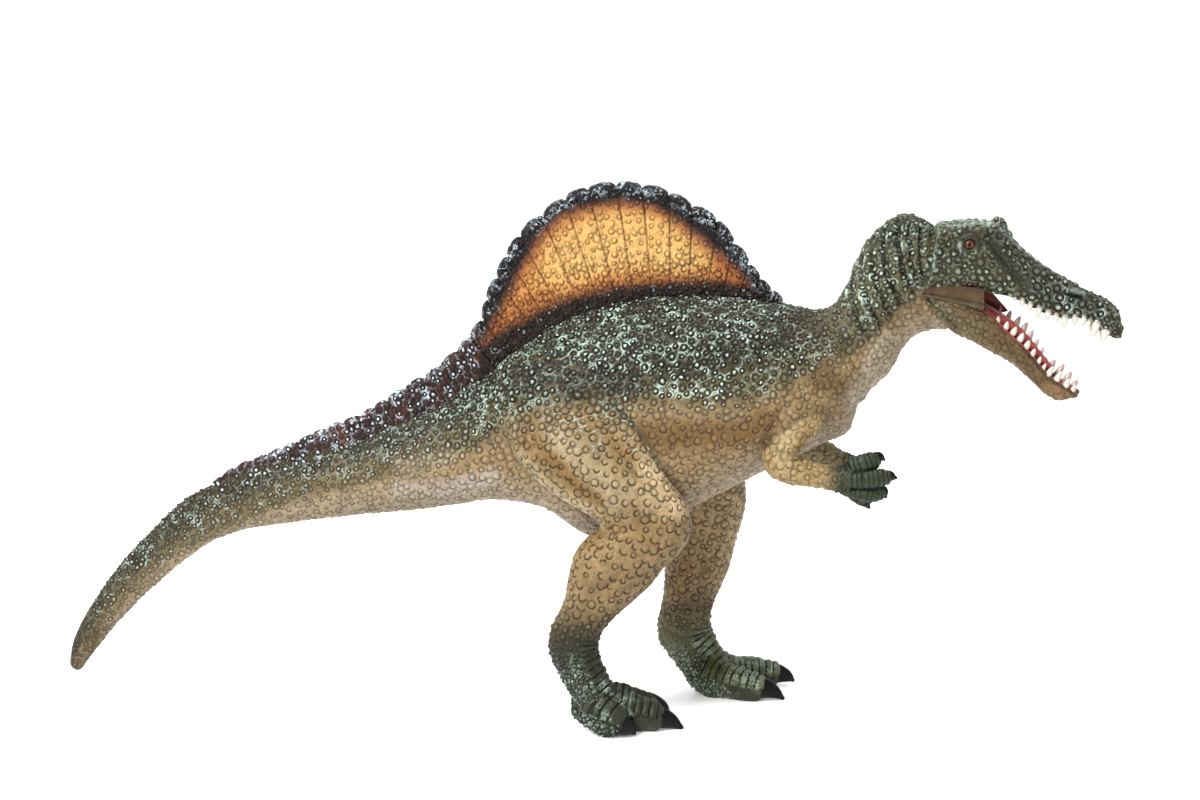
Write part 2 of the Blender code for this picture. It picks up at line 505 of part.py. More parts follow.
def paint(obj, colour, roughness=0.55):
    material = bpy.data.materials.new(obj.name + "_paint")
    material.use_nodes = True
    shader = material.node_tree.nodes["Principled BSDF"]
    shader.inputs["Base Color"].default_value = (*colour, 1.0)
    shader.inputs["Roughness"].default_value = roughness
    shader.inputs["Metallic"].default_value = 0.0
    obj.data.materials.append(material)


def joined(name, shapes, cuts=()):
    """One moulding: the first shape with the others united to it, less the cutters."""
    obj = make(name, shapes[0])
    for i, shape in enumerate(shapes[1:]):
        boolean(obj, make(f"{name}_piece_{i}", shape, helper=True), "UNION")
    for cutter in cuts:
        boolean(obj, cutter, "DIFFERENCE")
    return obj


clear()

body = make("body", loft(BODY, 6.2, 18, ends=(0.9, 0.5)))
seat = make("body_seat", loft(BODY, 6.2, 18, grow=GAP, ends=(0.9, 0.5)), helper=True)
below_floor = block("below_floor", (-200, -100, -40), (200, 100, 0))

sail = joined("sail", [fin(2, 3, [1.9, 1.5, 1.35, 1.3])], [seat])

horn = tooth(head_pt(997, 226), head_pt(997.5, 215), 1.5, 6)
head = joined("head", [loft(HEAD, 4.5, 14, on_head=True, ends=(0.1, 0.7)), horn, *teeth(UPPER_TEETH, 5)], [seat])
palate = make("palate_seat", loft(HEAD, 4.5, 14, on_head=True, grow=GAP, ends=(0.1, 0.7)), helper=True)
hollow = make("mouth_hollow", loft(MOUTH, 5.0, 8, on_head=True, ends=(0.6, 0.6), cap=1), helper=True)
jaw = joined("lower_jaw", [loft(JAW, 4.5, 12, on_head=True, ends=(0.1, 0.6)), *teeth(LOWER_TEETH, 5)], [hollow, seat, palate])

legs = []
for name, table, toes in (("right_leg", RIGHT_LEG, RIGHT_TOES), ("left_leg", LEFT_LEG, LEFT_TOES)):
    shapes = [loft(table, 5.5, 12, ends=(0.5, 0.3))]
    for toe, nail in toes:
        shapes += [digit(toe, 5.5, 8), claw(nail, 4.0, 6)]
    legs.append(joined(name, shapes, [seat, below_floor]))

arms = []
for name, table, fingers in (("right_arm", RIGHT_ARM, RIGHT_FINGERS), ("left_arm", LEFT_ARM, LEFT_FINGERS)):
    shapes = [loft(table, 4.0, 10, ends=(0.5, 0.4))]
    for finger, nail in fingers:
        shapes += [digit(finger, 3.5, 6), claw(nail, 3.0, 5)]
    arms.append(joined(name, shapes, [seat]))

paint(body, (0.30, 0.27, 0.17))
paint(sail, (0.80, 0.36, 0.10))
paint(head, (0.11, 0.12, 0.07))
paint(jaw, (0.25, 0.16, 0.08))
for limb in (*legs, *arms):
    paint(limb, (0.42, 0.30, 0.15))
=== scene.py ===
# Looks of the toy spinosaurus figure: the painted, moulded skin of every piece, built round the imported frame.
#
# Frame: +X towards the snout, +Y to the animal's left, +Z up, the origin on the floor under the middle of the
# figure's bounding box. Metres. The work is done in millimetres and turned to metres when an object is made.
#
# The shapes are laid out on the same side-view sheet as the CAD: u runs to the right, v runs down, four units to
# the millimetre, drawn in perspective as the figure looks from EYE_FAR in front of its right side and EYE_RISE
# above it. The skin is one finely remeshed surface over the trunk, tail, limbs, fingers and toes, carved with
# moulded scales and then painted by hand-like strokes, so that colour and relief lie in the meshes themselves.
import json
import math
import sys

import bmesh
import bpy
import numpy as np
from mathutils import Vector
from mathutils.bvhtree import BVHTree
from mathutils.kdtree import KDTree
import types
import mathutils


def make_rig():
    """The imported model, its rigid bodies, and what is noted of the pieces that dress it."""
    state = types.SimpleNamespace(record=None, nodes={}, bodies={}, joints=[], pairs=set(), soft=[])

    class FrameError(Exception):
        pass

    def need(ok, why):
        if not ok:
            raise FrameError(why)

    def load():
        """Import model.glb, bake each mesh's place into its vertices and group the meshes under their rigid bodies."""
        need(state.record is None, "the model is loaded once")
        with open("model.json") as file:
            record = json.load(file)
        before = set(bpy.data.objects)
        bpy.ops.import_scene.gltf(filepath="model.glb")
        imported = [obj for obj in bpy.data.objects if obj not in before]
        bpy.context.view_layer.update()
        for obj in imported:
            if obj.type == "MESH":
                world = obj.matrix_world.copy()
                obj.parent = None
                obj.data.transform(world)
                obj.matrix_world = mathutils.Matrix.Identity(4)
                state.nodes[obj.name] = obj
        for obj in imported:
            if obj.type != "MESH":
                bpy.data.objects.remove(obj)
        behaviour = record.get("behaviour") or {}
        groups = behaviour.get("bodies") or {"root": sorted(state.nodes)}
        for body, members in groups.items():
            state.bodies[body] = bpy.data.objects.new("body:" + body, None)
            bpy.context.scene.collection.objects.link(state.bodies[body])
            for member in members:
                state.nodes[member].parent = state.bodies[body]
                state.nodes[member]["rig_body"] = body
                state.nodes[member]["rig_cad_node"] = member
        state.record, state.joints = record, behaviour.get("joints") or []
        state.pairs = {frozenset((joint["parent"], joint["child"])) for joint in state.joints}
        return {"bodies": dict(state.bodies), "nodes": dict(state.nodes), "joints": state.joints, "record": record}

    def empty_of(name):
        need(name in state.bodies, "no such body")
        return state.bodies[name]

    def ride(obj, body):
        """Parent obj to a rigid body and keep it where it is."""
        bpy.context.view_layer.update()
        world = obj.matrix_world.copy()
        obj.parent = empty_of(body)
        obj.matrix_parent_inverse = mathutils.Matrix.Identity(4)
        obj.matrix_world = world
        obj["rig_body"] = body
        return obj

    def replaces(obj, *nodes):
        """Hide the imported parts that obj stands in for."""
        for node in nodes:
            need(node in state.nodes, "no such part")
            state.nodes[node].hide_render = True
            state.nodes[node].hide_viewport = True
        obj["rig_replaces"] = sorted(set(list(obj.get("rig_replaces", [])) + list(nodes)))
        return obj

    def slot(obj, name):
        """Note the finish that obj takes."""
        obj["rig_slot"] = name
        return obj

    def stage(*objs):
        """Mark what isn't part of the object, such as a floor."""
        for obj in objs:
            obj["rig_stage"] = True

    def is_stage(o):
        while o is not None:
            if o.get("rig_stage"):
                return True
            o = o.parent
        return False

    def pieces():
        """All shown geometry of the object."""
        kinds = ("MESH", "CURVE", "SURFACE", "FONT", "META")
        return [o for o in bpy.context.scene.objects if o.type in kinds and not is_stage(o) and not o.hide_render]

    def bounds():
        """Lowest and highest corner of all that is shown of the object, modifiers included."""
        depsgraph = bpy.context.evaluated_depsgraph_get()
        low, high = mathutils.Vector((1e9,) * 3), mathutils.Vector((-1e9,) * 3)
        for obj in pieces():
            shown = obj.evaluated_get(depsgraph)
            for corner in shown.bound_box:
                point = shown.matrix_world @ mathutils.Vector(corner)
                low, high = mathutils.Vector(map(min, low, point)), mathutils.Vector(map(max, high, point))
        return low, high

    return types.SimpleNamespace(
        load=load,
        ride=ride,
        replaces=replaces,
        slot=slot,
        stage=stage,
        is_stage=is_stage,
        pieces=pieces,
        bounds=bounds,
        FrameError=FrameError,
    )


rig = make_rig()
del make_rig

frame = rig.load()
cad_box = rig.bounds()

MM = 0.001
EYE_FAR = 708.0
EYE_RISE = math.radians(10.0)
SHEET = 2833.0
SHEET_MID = (600.0, 400.0)
SHEET_Z = 79.7
SHIFT = np.array([-4.2, 0.7, 0.0])
HEAD_TURN = math.radians(9.0)
HEAD_PIVOT = (68.0, 0.0)
CE, SE = math.cos(EYE_RISE), math.sin(EYE_RISE)
EYE = np.array([0.0, -EYE_FAR * CE, SHEET_Z + EYE_FAR * SE])

# ------------------------------------------------------------------ sheet to space
def on_plane(u, v, point, normal):
    """The place in space, in mm, of a sheet point that lies on an upright plane."""
    du, dv = (u - SHEET_MID[0]) / SHEET, (SHEET_MID[1] - v) / SHEET
    ray = np.array([du, CE + dv * SE, -SE + dv * CE])
    t = ((point - EYE) @ normal) / (ray @ normal)
    return EYE + t * ray


def pt(u, v, y=0.0):
    """A sheet point at a sideways position y."""
    return on_plane(u, v, np.array([0.0, y, 0.0]), np.array([0.0, 1.0, 0.0]))


def side_of(turn):
    """The sideways direction, to the animal's left, of a part that is turned to the right by this angle."""
    return np.array([math.sin(turn), math.cos(turn), 0.0])


def head_pt(u, v, off=0.0, turn=HEAD_TURN):
    """A sheet point on the head's own middle plane, or off it to the left."""
    n = side_of(turn)
    return on_plane(u, v, np.array([HEAD_PIVOT[0], HEAD_PIVOT[1], 0.0]) + off * n, n)




def sheet_of(p):
    """u and v on the sheet of points in space."""
    d = p - EYE
    far = d[:, 1] * CE - d[:, 2] * SE
    up = d[:, 1] * SE + d[:, 2] * CE
    return SHEET_MID[0] + SHEET * d[:, 0] / far, SHEET_MID[1] - SHEET * up / far


def near_half(p, turn=0.0):
    """The points with those of the animal's left half mirrored to its right half, so both sides are painted alike."""
    q = p.copy()
    if turn:
        n = side_of(turn)
        off = (p - np.array([*HEAD_PIVOT, 0.0])) @ n
        return q - np.outer(2 * np.maximum(off, 0), n)
    q[:, 1] = -np.abs(q[:, 1])
    return q


# A row is one cross-section: (top u, top v, bottom u, bottom v, y of its middle, half-width in mm, egg, squareness,
# turn in degrees). egg above 0 is wider at the top and below 0 wider at the bottom; squareness 2 is an ellipse.
BODY = [
    (70, 658.5, 84.5, 665.5, 7.0, 1.8, 0.0, 2.0, 0),
    (72, 645, 91, 656.5, 6.8, 2.0, 0.0, 2.0, 0),
    (80.5, 623.5, 103, 641, 6.4, 2.4, 0.0, 2.0, 0),
    (96, 597.5, 121, 619.5, 5.8, 2.7, 0.0, 2.0, 0),
    (119.5, 565, 147.5, 592.5, 5.0, 3.1, 0.0, 2.0, 0),
    (150, 532, 180.5, 563.5, 4.0, 3.6, 0.0, 2.0, 0),
    (188, 497, 213, 541, 3.2, 4.2, -0.05, 2.0, 0),
    (232, 478, 247, 529, 2.4, 4.8, -0.08, 2.0, 0),
    (287, 461, 300, 521, 1.6, 5.4, -0.10, 2.0, 0),
    (350, 440, 358, 514, 0.8, 6.3, -0.12, 2.0, 0),
    (400, 420, 408, 510, 0.4, 7.3, -0.12, 2.0, 0),
    (441, 402, 450, 505, 0.1, 8.5, -0.12, 2.0, 0),
    (482, 377, 494, 499, 0.0, 10.4, -0.12, 2.05, 0),
    (520, 347, 543, 506, 0.0, 12.8, -0.12, 2.1, 0),
    (560, 323, 590, 534, 0.0, 15.2, -0.10, 2.15, 0),
    (602, 306, 645, 526, 0.0, 17.8, -0.08, 2.2, 0),
    (650, 297, 691, 505, 0.0, 20.4, -0.06, 2.2, 0),
    (700, 295, 738, 481, 0.0, 21.8, -0.04, 2.2, 0),
    (745, 298, 786, 457, 0.0, 20.8, -0.02, 2.15, 0),
    (781, 304, 823, 441, 0.0, 18.4, 0.0, 2.1, 0),
    (803, 309, 849, 429, 0.0, 16.2, 0.0, 2.05, 1),
    (822, 311, 858, 404, 0.0, 13.8, 0.0, 2.0, 1.5),
    (836, 305, 874, 387, 0.0, 12.2, 0.0, 2.0, 2),
    (847, 286, 891, 369, 0.0, 11.2, 0.0, 2.0, 3),
    (858, 258, 901, 350, 0.0, 10.6, 0.0, 2.0, 5),
    (872, 235, 911, 337, 0.0, 10.2, 0.0, 2.0, 6.5),
    (891, 220, 924, 331, 0.0, 9.9, 0.0, 2.0, 8),
    (912, 215, 942, 329, 0.0, 9.2, 0.0, 2.05, 9),
    (930, 229, 950, 325, 0.0, 7.6, 0.0, 2.1, 9),
    (940, 243, 953, 312, 0.0, 5.4, 0.0, 2.1, 9),
]
# The head's rows lie on its own turned plane; y is then the distance off that plane.
HEAD = [
    (936, 229, 925, 288, 0.0, 10.2, 0.02, 3.4, 9),
    (950, 223, 945, 287, 0.0, 10.7, 0.02, 3.2, 9),
    (968, 221, 967, 288, 0.0, 10.5, 0.02, 3.0, 9),
    (987, 222, 986, 291, 0.0, 9.5, 0.02, 2.8, 9),
    (1003, 227, 1000, 294, 0.0, 8.0, 0.0, 2.6, 9),
    (1017, 244, 1012, 297, 0.0, 6.6, -0.04, 2.5, 9),
    (1035, 260, 1027, 304, 0.0, 5.6, -0.08, 2.5, 9),
    (1056, 274, 1045, 312, 0.0, 4.9, -0.08, 2.6, 9),
    (1076, 285, 1063, 318, 0.0, 4.4, -0.05, 2.6, 9),
    (1093, 293, 1081, 318, 0.0, 4.5, 0.0, 2.5, 9),
    (1108, 301, 1094, 323, 0.0, 5.0, 0.0, 2.4, 9),
    (1118, 311, 1103, 331, 0.0, 4.6, 0.0, 2.3, 9),
    (1121, 323, 1112, 336, 0.0, 2.8, 0.0, 2.2, 9),
]
JAW = [
    (924, 290, 957, 331, 0.0, 9.6, 0.0, 3.6, 9),
    (946, 289, 965, 335, 0.0, 9.4, 0.0, 3.6, 9),
    (967, 291, 976, 341, 0.0, 8.6, 0.0, 3.6, 9),
    (985, 300, 986, 347, 0.0, 7.6, 0.02, 3.4, 9),
    (998, 315, 993, 351, 0.0, 6.6, 0.04, 3.2, 9),
    (1011, 329, 1000, 355, 0.0, 5.7, 0.08, 3.0, 9),
    (1024, 341, 1010, 361, 0.0, 5.0, 0.08, 2.9, 9),
    (1036, 354, 1023, 372, 0.0, 4.4, 0.05, 2.8, 9),
    (1046, 367, 1035, 384, 0.0, 4.1, 0.05, 2.8, 9),
    (1057, 376, 1046, 394, 0.0, 4.2, 0.05, 2.8, 9),
    (1067, 382, 1059, 400, 0.0, 4.1, 0.0, 2.6, 9),
    (1075, 388, 1070, 398, 0.0, 2.8, 0.0, 2.4, 9),
]
# The hollow between the rims of the lower jaw, down to the floor of the mouth.
MOUTH = [
    (972, 286, 970, 311, 0.0, 4.6, 0.0, 2.2, 9),
    (990, 296, 985, 322, 0.0, 4.0, 0.0, 2.2, 9),
    (1008, 312, 999, 336, 0.0, 3.1, 0.0, 2.2, 9),
    (1025, 329, 1014, 350, 0.0, 2.5, 0.0, 2.2, 9),
    (1041, 348, 1030, 367, 0.0, 2.1, 0.0, 2.2, 9),
    (1054, 363, 1044, 383, 0.0, 2.0, 0.0, 2.2, 9),
    (1065, 373, 1057, 391, 0.0, 1.8, 0.0, 2.2, 9),
]
# Legs: the rear edge and the front edge take the place of bottom and top.
RIGHT_LEG = [
    (640, 372, 508, 372, -6.0, 8.0, 0, 2.0, 0),
    (643, 398, 505, 415, -9.5, 10.0, 0, 2.1, 0),
    (647, 424, 513, 452, -12.6, 11.0, 0, 2.2, 0),
    (659, 455, 535, 478, -14.6, 11.0, 0, 2.2, 0),
    (675, 485, 562, 498, -16.4, 10.2, 0, 2.2, 0),
    (688, 508, 588, 513, -18.0, 9.2, 0, 2.2, 0),
    (692, 530, 601, 526, -19.0, 8.4, 0, 2.2, 0),
    (682, 550, 588, 537, -19.6, 8.0, 0, 2.2, 0),
    (665, 566, 575, 552, -20.0, 7.6, 0, 2.1, 0),
    (651, 584, 569, 572, -20.2, 7.1, 0, 2.1, 0),
    (633, 601, 566, 592, -20.2, 6.4, 0, 2.1, 0),
    (614, 618, 558, 613, -20.0, 5.6, 0, 2.1, 0),
    (601, 634, 549, 633, -19.8, 5.3, 0, 2.1, 0),
    (598, 650, 550, 654, -19.6, 5.4, 0, 2.2, 0),
    (602, 664, 559, 673, -19.5, 5.7, 0, 2.3, 0),
    (609, 680, 569, 690, -19.4, 6.2, 0, 2.4, 0),
    (616, 692, 583, 713, -19.5, 7.2, 0, 2.4, 0),
    (626, 704, 600, 732, -19.8, 7.7, 0, 2.6, 0),
]
LEFT_LEG = [
    (650, 360, 512, 372, 6.0, 8.0, 0, 2.0, 0),
    (668, 385, 520, 412, 9.5, 10.0, 0, 2.1, 0),
    (694, 410, 552, 446, 12.4, 11.0, 0, 2.2, 0),
    (718, 435, 592, 474, 14.2, 10.8, 0, 2.2, 0),
    (738, 462, 630, 500, 15.6, 10.0, 0, 2.2, 0),
    (746, 488, 655, 518, 16.6, 9.0, 0, 2.2, 0),
    (744, 512, 663, 536, 17.2, 8.2, 0, 2.2, 0),
    (737, 537, 665, 555, 17.6, 7.6, 0, 2.1, 0),
    (729, 568, 664, 580, 17.8, 7.0, 0, 2.1, 0),
    (717, 594, 662, 603, 17.8, 6.2, 0, 2.1, 0),
    (710, 617, 658, 622, 17.6, 5.4, 0, 2.1, 0),
    (713, 634, 659, 640, 17.4, 5.2, 0, 2.2, 0),
    (721, 648, 670, 655, 17.2, 5.5, 0, 2.3, 0),
    (729, 658, 682, 671, 17.0, 6.4, 0, 2.4, 0),
    (736, 666, 693, 684, 16.6, 7.6, 0, 2.4, 0),
    (742, 673, 703, 693.5, 16.2, 8.0, 0, 2.6, 0),
]
# Arms: the crook of the elbow takes the place of the top, and its point that of the bottom.
RIGHT_ARM = [
    (848, 385, 792, 375, -7.5, 5.6, 0, 2.0, 0),
    (838, 407, 785, 402, -11.0, 5.8, 0, 2.0, 0),
    (822, 427, 775, 425, -14.0, 5.4, 0, 2.0, 0),
    (807, 443, 765, 446, -16.2, 4.9, 0, 2.0, 0),
    (797, 454, 762, 464, -17.2, 4.5, 0, 2.1, 0),
    (799, 458, 771, 477, -17.6, 4.3, 0, 2.1, 0),
    (809, 461, 790, 484, -17.6, 4.0, 0, 2.1, 0),
    (824, 465, 812, 487, -17.3, 3.7, 0, 2.1, 0),
    (838, 465, 832, 491, -17.0, 3.5, 0, 2.1, 0),
    (850, 463, 848, 496, -16.6, 3.6, 0, 2.2, 0),
    (860, 464, 860, 498, -16.3, 3.2, 0, 2.2, 0),
]
LEFT_ARM = [
    (846, 380, 794, 370, 7.5, 5.6, 0, 2.0, 0),
    (838, 400, 788, 394, 11.0, 5.8, 0, 2.0, 0),
    (828, 417, 780, 416, 13.4, 5.4, 0, 2.0, 0),
    (820, 430, 775, 434, 15.0, 4.9, 0, 2.0, 0),
    (820, 437, 778, 448, 15.6, 4.5, 0, 2.1, 0),
    (828, 441, 796, 460, 15.4, 4.2, 0, 2.1, 0),
    (840, 449, 815, 471, 14.6, 3.7, 0, 2.1, 0),
    (852, 455, 836, 477, 13.6, 3.5, 0, 2.1, 0),
    (861, 460, 848, 483, 12.8, 3.5, 0, 2.1, 0),
]
# Fingers and toes: (u, v, y, half-height, half-width), then the claw: (u, v, y, radius) at its root, middle and tip.
RIGHT_FINGERS = [
    ([(852, 468, -17.6, 2.3, 2.2), (862, 464, -18.0, 2.3, 2.2), (871, 460.5, -17.6, 2.1, 2.0), (876, 460, -17.2, 1.7, 1.6)],
     [(873.5, 459, -17.2, 1.5), (879.5, 457.5, -17.0, 1.25), (884, 459.5, -16.8, 0.4)]),
    ([(850, 479, -18.4, 2.3, 2.3), (863, 479, -19.0, 2.4, 2.4), (877, 478, -18.6, 2.3, 2.3), (886, 477.5, -18.0, 1.7, 1.7)],
     [(884.5, 477, -18.0, 1.6), (890.5, 476.5, -17.8, 1.3), (896, 478, -17.6, 0.4)]),
    ([(850, 489, -17.0, 2.2, 2.3), (862, 491.5, -17.4, 2.3, 2.3), (872, 493, -17.0, 2.2, 2.2), (879, 493, -16.4, 1.7, 1.7)],
     [(877.5, 491.5, -16.4, 1.6), (883.5, 491.5, -16.2, 1.3), (885.5, 496.5, -16.0, 0.5)]),
    ([(853, 494, -14.8, 1.7, 1.7), (861, 498, -14.6, 1.6, 1.6)],
     [(859.5, 499, -14.6, 1.5), (865, 502.5, -14.4, 1.25), (869, 507.5, -14.2, 0.45)]),
]
LEFT_FINGERS = [
    ([(854, 467, 12.6, 2.1, 2.1), (862, 467, 12.0, 2.1, 2.1), (869, 469, 11.6, 1.9, 1.9), (873, 471, 11.4, 1.5, 1.5)],
     [(872, 471, 11.4, 1.0), (876, 475, 11.2, 0.8), (876, 479, 11.0, 0.3)]),
    ([(854, 473, 13.6, 2.1, 2.1), (864, 476, 13.2, 2.1, 2.1), (872, 480, 12.8, 1.7, 1.7)],
     [(871, 480, 12.8, 1.1), (875, 485, 12.6, 0.9), (874, 489, 12.4, 0.3)]),
    ([(850, 478, 11.8, 2.0, 2.0), (858, 484, 11.4, 2.0, 2.0), (863, 489, 11.0, 1.6, 1.6)],
     [(862, 489, 11.0, 1.1), (864, 493, 10.8, 0.8), (862, 497, 10.6, 0.3)]),
]
RIGHT_TOES = [
    ([(587, 706, -20.5, 4.4, 4.2), (598, 714, -23.0, 4.3, 4.0), (607, 718.5, -24.2, 4.2, 3.9), (613, 721.5, -24.8, 3.8, 3.6)],
     [(613, 722, -24.8, 3.1), (621, 725, -25.0, 2.8), (629, 729.5, -25.1, 1.8), (634, 733, -25.2, 0.6)]),
    ([(604, 704, -18.2, 4.8, 4.8), (622, 709.5, -18.3, 4.5, 4.5), (638, 713, -18.4, 4.3, 4.3), (650.5, 715, -18.5, 4.0, 3.9)],
     [(652, 717, -18.5, 2.9), (661, 718, -18.5, 2.55), (672, 722, -18.5, 1.8), (681, 727.5, -18.5, 0.6)]),
    ([(616, 700, -15.0, 4.2, 4.0), (630, 704, -12.6, 4.1, 3.9), (641, 706, -11.0, 3.9, 3.7), (647, 706.6, -10.5, 3.6, 3.4)],
     [(650, 705, -10.3, 2.9), (657, 707, -10.0, 2.4), (664, 712, -9.8, 1.6), (668, 716.5, -9.7, 0.5)]),
]
LEFT_TOES = [
    ([(702, 672, 14.5, 4.6, 4.2), (722, 679, 11.4, 4.4, 4.0), (741, 685, 9.0, 4.2, 3.8), (754, 688, 8.0, 3.8, 3.6)],
     [(755, 687.6, 8.0, 3.0), (766, 689, 7.7, 2.5), (776, 693.5, 7.4, 1.5), (782.5, 698, 7.3, 0.5)]),
    ([(722, 671, 18.2, 4.2, 4.0), (740, 673, 19.6, 3.9, 3.7), (757, 673, 20.6, 3.7, 3.5), (770.5, 674.3, 21.0, 3.4, 3.3)],
     [(771, 673.5, 21.0, 2.8), (781, 674.5, 21.0, 2.2), (789, 677.5, 21.0, 1.3), (793, 680, 21.0, 0.5)]),
    ([(722, 672, 20.0, 3.6, 3.6), (736, 671, 23.0, 3.4, 3.4), (747, 670, 25.2, 3.2, 3.2), (757, 670, 26.6, 3.0, 3.0)],
     [(757, 667, 26.6, 2.4), (764, 668.5, 27.1, 2.0), (770, 672, 27.4, 1.2), (774, 675.5, 27.6, 0.5)]),
]
# The sail's edge and its foot on the back, a pair at each notch between two of its spines, from the chest to the
# tail; then the crest of the tail goes on in the same way.
SAIL = [
    (783, 301, 779, 304), (771, 290, 765, 303), (760, 279, 752, 300), (748, 264, 738, 298), (733, 243, 722, 296),
    (717, 221, 706, 295), (692, 207, 688, 294), (669, 194, 670, 294), (642, 187, 652, 295), (616, 185, 634, 297),
    (588, 189, 617, 301), (565, 199, 600, 306), (543, 216, 583, 313), (520, 236, 567, 320), (508, 256, 552, 327),
    (497, 277, 538, 335), (488, 299, 524, 344), (483, 320, 510, 354), (470, 337, 495, 365), (458, 352, 480, 376),
    (440, 367, 463, 388), (425, 378, 445, 399), (405, 389, 425, 409), (387, 400, 405, 418), (374, 408, 390, 425),
    (360, 416, 373, 432), (343, 423, 355, 438), (327, 429, 337, 444), (313, 435, 320, 450), (299, 442, 303, 455),
    (283, 449, 287, 461), (268, 455, 271, 466), (253, 461, 255, 471), (236, 468, 238, 477), (222, 477, 224, 482),
    (212, 484, 214, 486),
]
# Teeth of the right-hand rows on the sheet: (root u, root v, tip u, tip v, root radius, distance off the middle).
UPPER_TEETH = [
    (1014.5, 296.5, 1014.0, 302.0, 0.48, 4.7), (1022.5, 299.5, 1021.5, 307.5, 0.62, 4.6),
    (1030.5, 303.0, 1029.0, 312.0, 0.66, 4.4), (1039.5, 307.0, 1037.0, 317.5, 0.78, 4.2),
    (1048.5, 311.0, 1046.5, 321.0, 0.76, 4.0), (1056.5, 314.5, 1054.5, 323.5, 0.70, 3.8),
    (1065.5, 316.0, 1063.0, 327.5, 0.84, 3.6), (1075.5, 316.0, 1073.5, 325.5, 0.74, 3.5),
    (1084.5, 316.5, 1082.5, 326.0, 0.66, 3.5), (1090.5, 318.5, 1088.0, 327.0, 0.56, 3.6),
    (1097.5, 321.0, 1091.5, 338.0, 1.05, 3.9), (1106.5, 328.0, 1101.5, 342.5, 1.15, 3.2),
]
LOWER_TEETH = [
    (997.5, 322.5, 999.5, 314.0, 0.60, 4.9), (1005.0, 329.0, 1009.5, 319.0, 0.70, 4.5),
    (1012.0, 334.5, 1018.5, 324.5, 0.78, 4.1), (1019.0, 341.0, 1025.5, 330.5, 0.82, 3.8),
    (1025.5, 348.0, 1031.5, 338.0, 0.76, 3.6), (1031.5, 355.5, 1037.0, 346.5, 0.66, 3.4),
    (1038.0, 363.0, 1042.5, 354.5, 0.56, 3.2), (1042.5, 369.5, 1047.5, 361.5, 0.54, 3.1),
    (1047.5, 375.5, 1056.0, 363.5, 0.80, 3.1), (1055.0, 381.5, 1065.0, 368.0, 0.84, 3.1),
    (1063.5, 388.0, 1072.5, 375.5, 0.84, 3.0), (1070.5, 392.5, 1078.5, 382.5, 0.78, 2.0),
]


def smooth_rows(rows, at, step):
    """Rows along a smooth curve (Catmull-Rom by length) through the given ones, about a step apart."""
    rows, at = np.array(rows, float), np.array(at, float)
    gaps = np.maximum(np.linalg.norm(np.diff(at, axis=0), axis=1), 1e-6)
    slope = np.diff(rows, axis=0) / gaps[:, None]
    tangent = np.empty_like(rows)
    tangent[0], tangent[-1] = slope[0], slope[-1]
    before, after = gaps[:-1, None], gaps[1:, None]
    tangent[1:-1] = (slope[:-1] * after + slope[1:] * before) / (before + after)
    out = [rows[0]]
    for i, gap in enumerate(gaps):
        pieces = max(1, round(gap / step))
        for k in range(1, pieces + 1):
            s = k / pieces
            out.append(
                (2 * s**3 - 3 * s**2 + 1) * rows[i]
                + (s**3 - 2 * s**2 + s) * gap * tangent[i]
                + (3 * s**2 - 2 * s**3) * rows[i + 1]
                + (s**3 - s**2) * gap * tangent[i + 1]
            )
    return np.array(out)


def skin(rings, first, last):
    """Vertices and faces of a closed tube: rings of equally many points, and a point at each end."""
    rings = np.array(rings)
    n, m = rings.shape[:2]
    verts = np.vstack([rings.reshape(-1, 3), first, last])
    faces = []
    for i in range(n - 1):
        for j in range(m):
            k = (j + 1) % m
            faces.append((i * m + j, i * m + k, (i + 1) * m + k, (i + 1) * m + j))
    for j in range(m):
        k = (j + 1) % m
        faces.append((n * m, k, j))
        faces.append((n * m + 1, (n - 1) * m + j, (n - 1) * m + k))
    return verts, faces




# ------------------------------------------------------------------ lofts
def row_table(table, step, on_head=False):
    rows = []
    for tu, tv, bu, bv, y, half, egg, square, turn in table:
        a = math.radians(turn)
        if on_head or turn:
            top, bottom = head_pt(tu, tv, y, a), head_pt(bu, bv, y, a)
        else:
            top, bottom = pt(tu, tv, y), pt(bu, bv, y)
        rows.append([*top, *bottom, half, egg, square, a])
    rows = np.array(rows)
    return smooth_rows(rows, (rows[:, :3] + rows[:, 3:6]) / 2, step)


def loft_rings(rows, m, grow=0.0):
    mid, up = (rows[:, :3] + rows[:, 3:6]) / 2, (rows[:, :3] - rows[:, 3:6]) / 2
    around = np.arange(m) * 2 * math.pi / m
    rings = []
    for i, row in enumerate(rows):
        half, egg, square, turn = row[6:10]
        a, b = np.cos(around), np.sin(around)
        r = (np.abs(a) ** square + np.abs(b) ** square) ** (-1 / square)
        a, b = a * r, b * r
        a = a * (1 + egg * b)
        height = np.linalg.norm(up[i])
        rings.append(mid[i] + np.outer(a * (half + grow), side_of(turn)) + np.outer(b * (1 + grow / height), up[i]))
    return np.array(rings), mid, up


def loft(table, step, m, on_head=False, ends=(0.6, 0.6), cap=6):
    rows = row_table(table, step, on_head)
    rings, mid, up = loft_rings(rows, m)

    def end(i, j, bulge):
        out = mid[i] - mid[j]
        out /= np.linalg.norm(out)
        reach = bulge * rows[i, 6]
        angle = [math.pi / 2 * k / (cap + 1) for k in range(1, cap + 1)]
        return [mid[i] + (rings[i] - mid[i]) * math.cos(a) + out * reach * math.sin(a) for a in angle], mid[i] + out * reach

    head, first = end(0, 1, ends[0])
    tail, last = end(-1, -2, ends[1])
    return skin([*head[::-1], *rings, *tail], first, last)


def frames_along(rows):
    along = np.gradient(rows[:, :3], axis=0)
    along /= np.linalg.norm(along, axis=1)[:, None]
    side = np.cross([0, 0, 1], along)
    side /= np.linalg.norm(side, axis=1)[:, None]
    return along, side, np.cross(along, side)


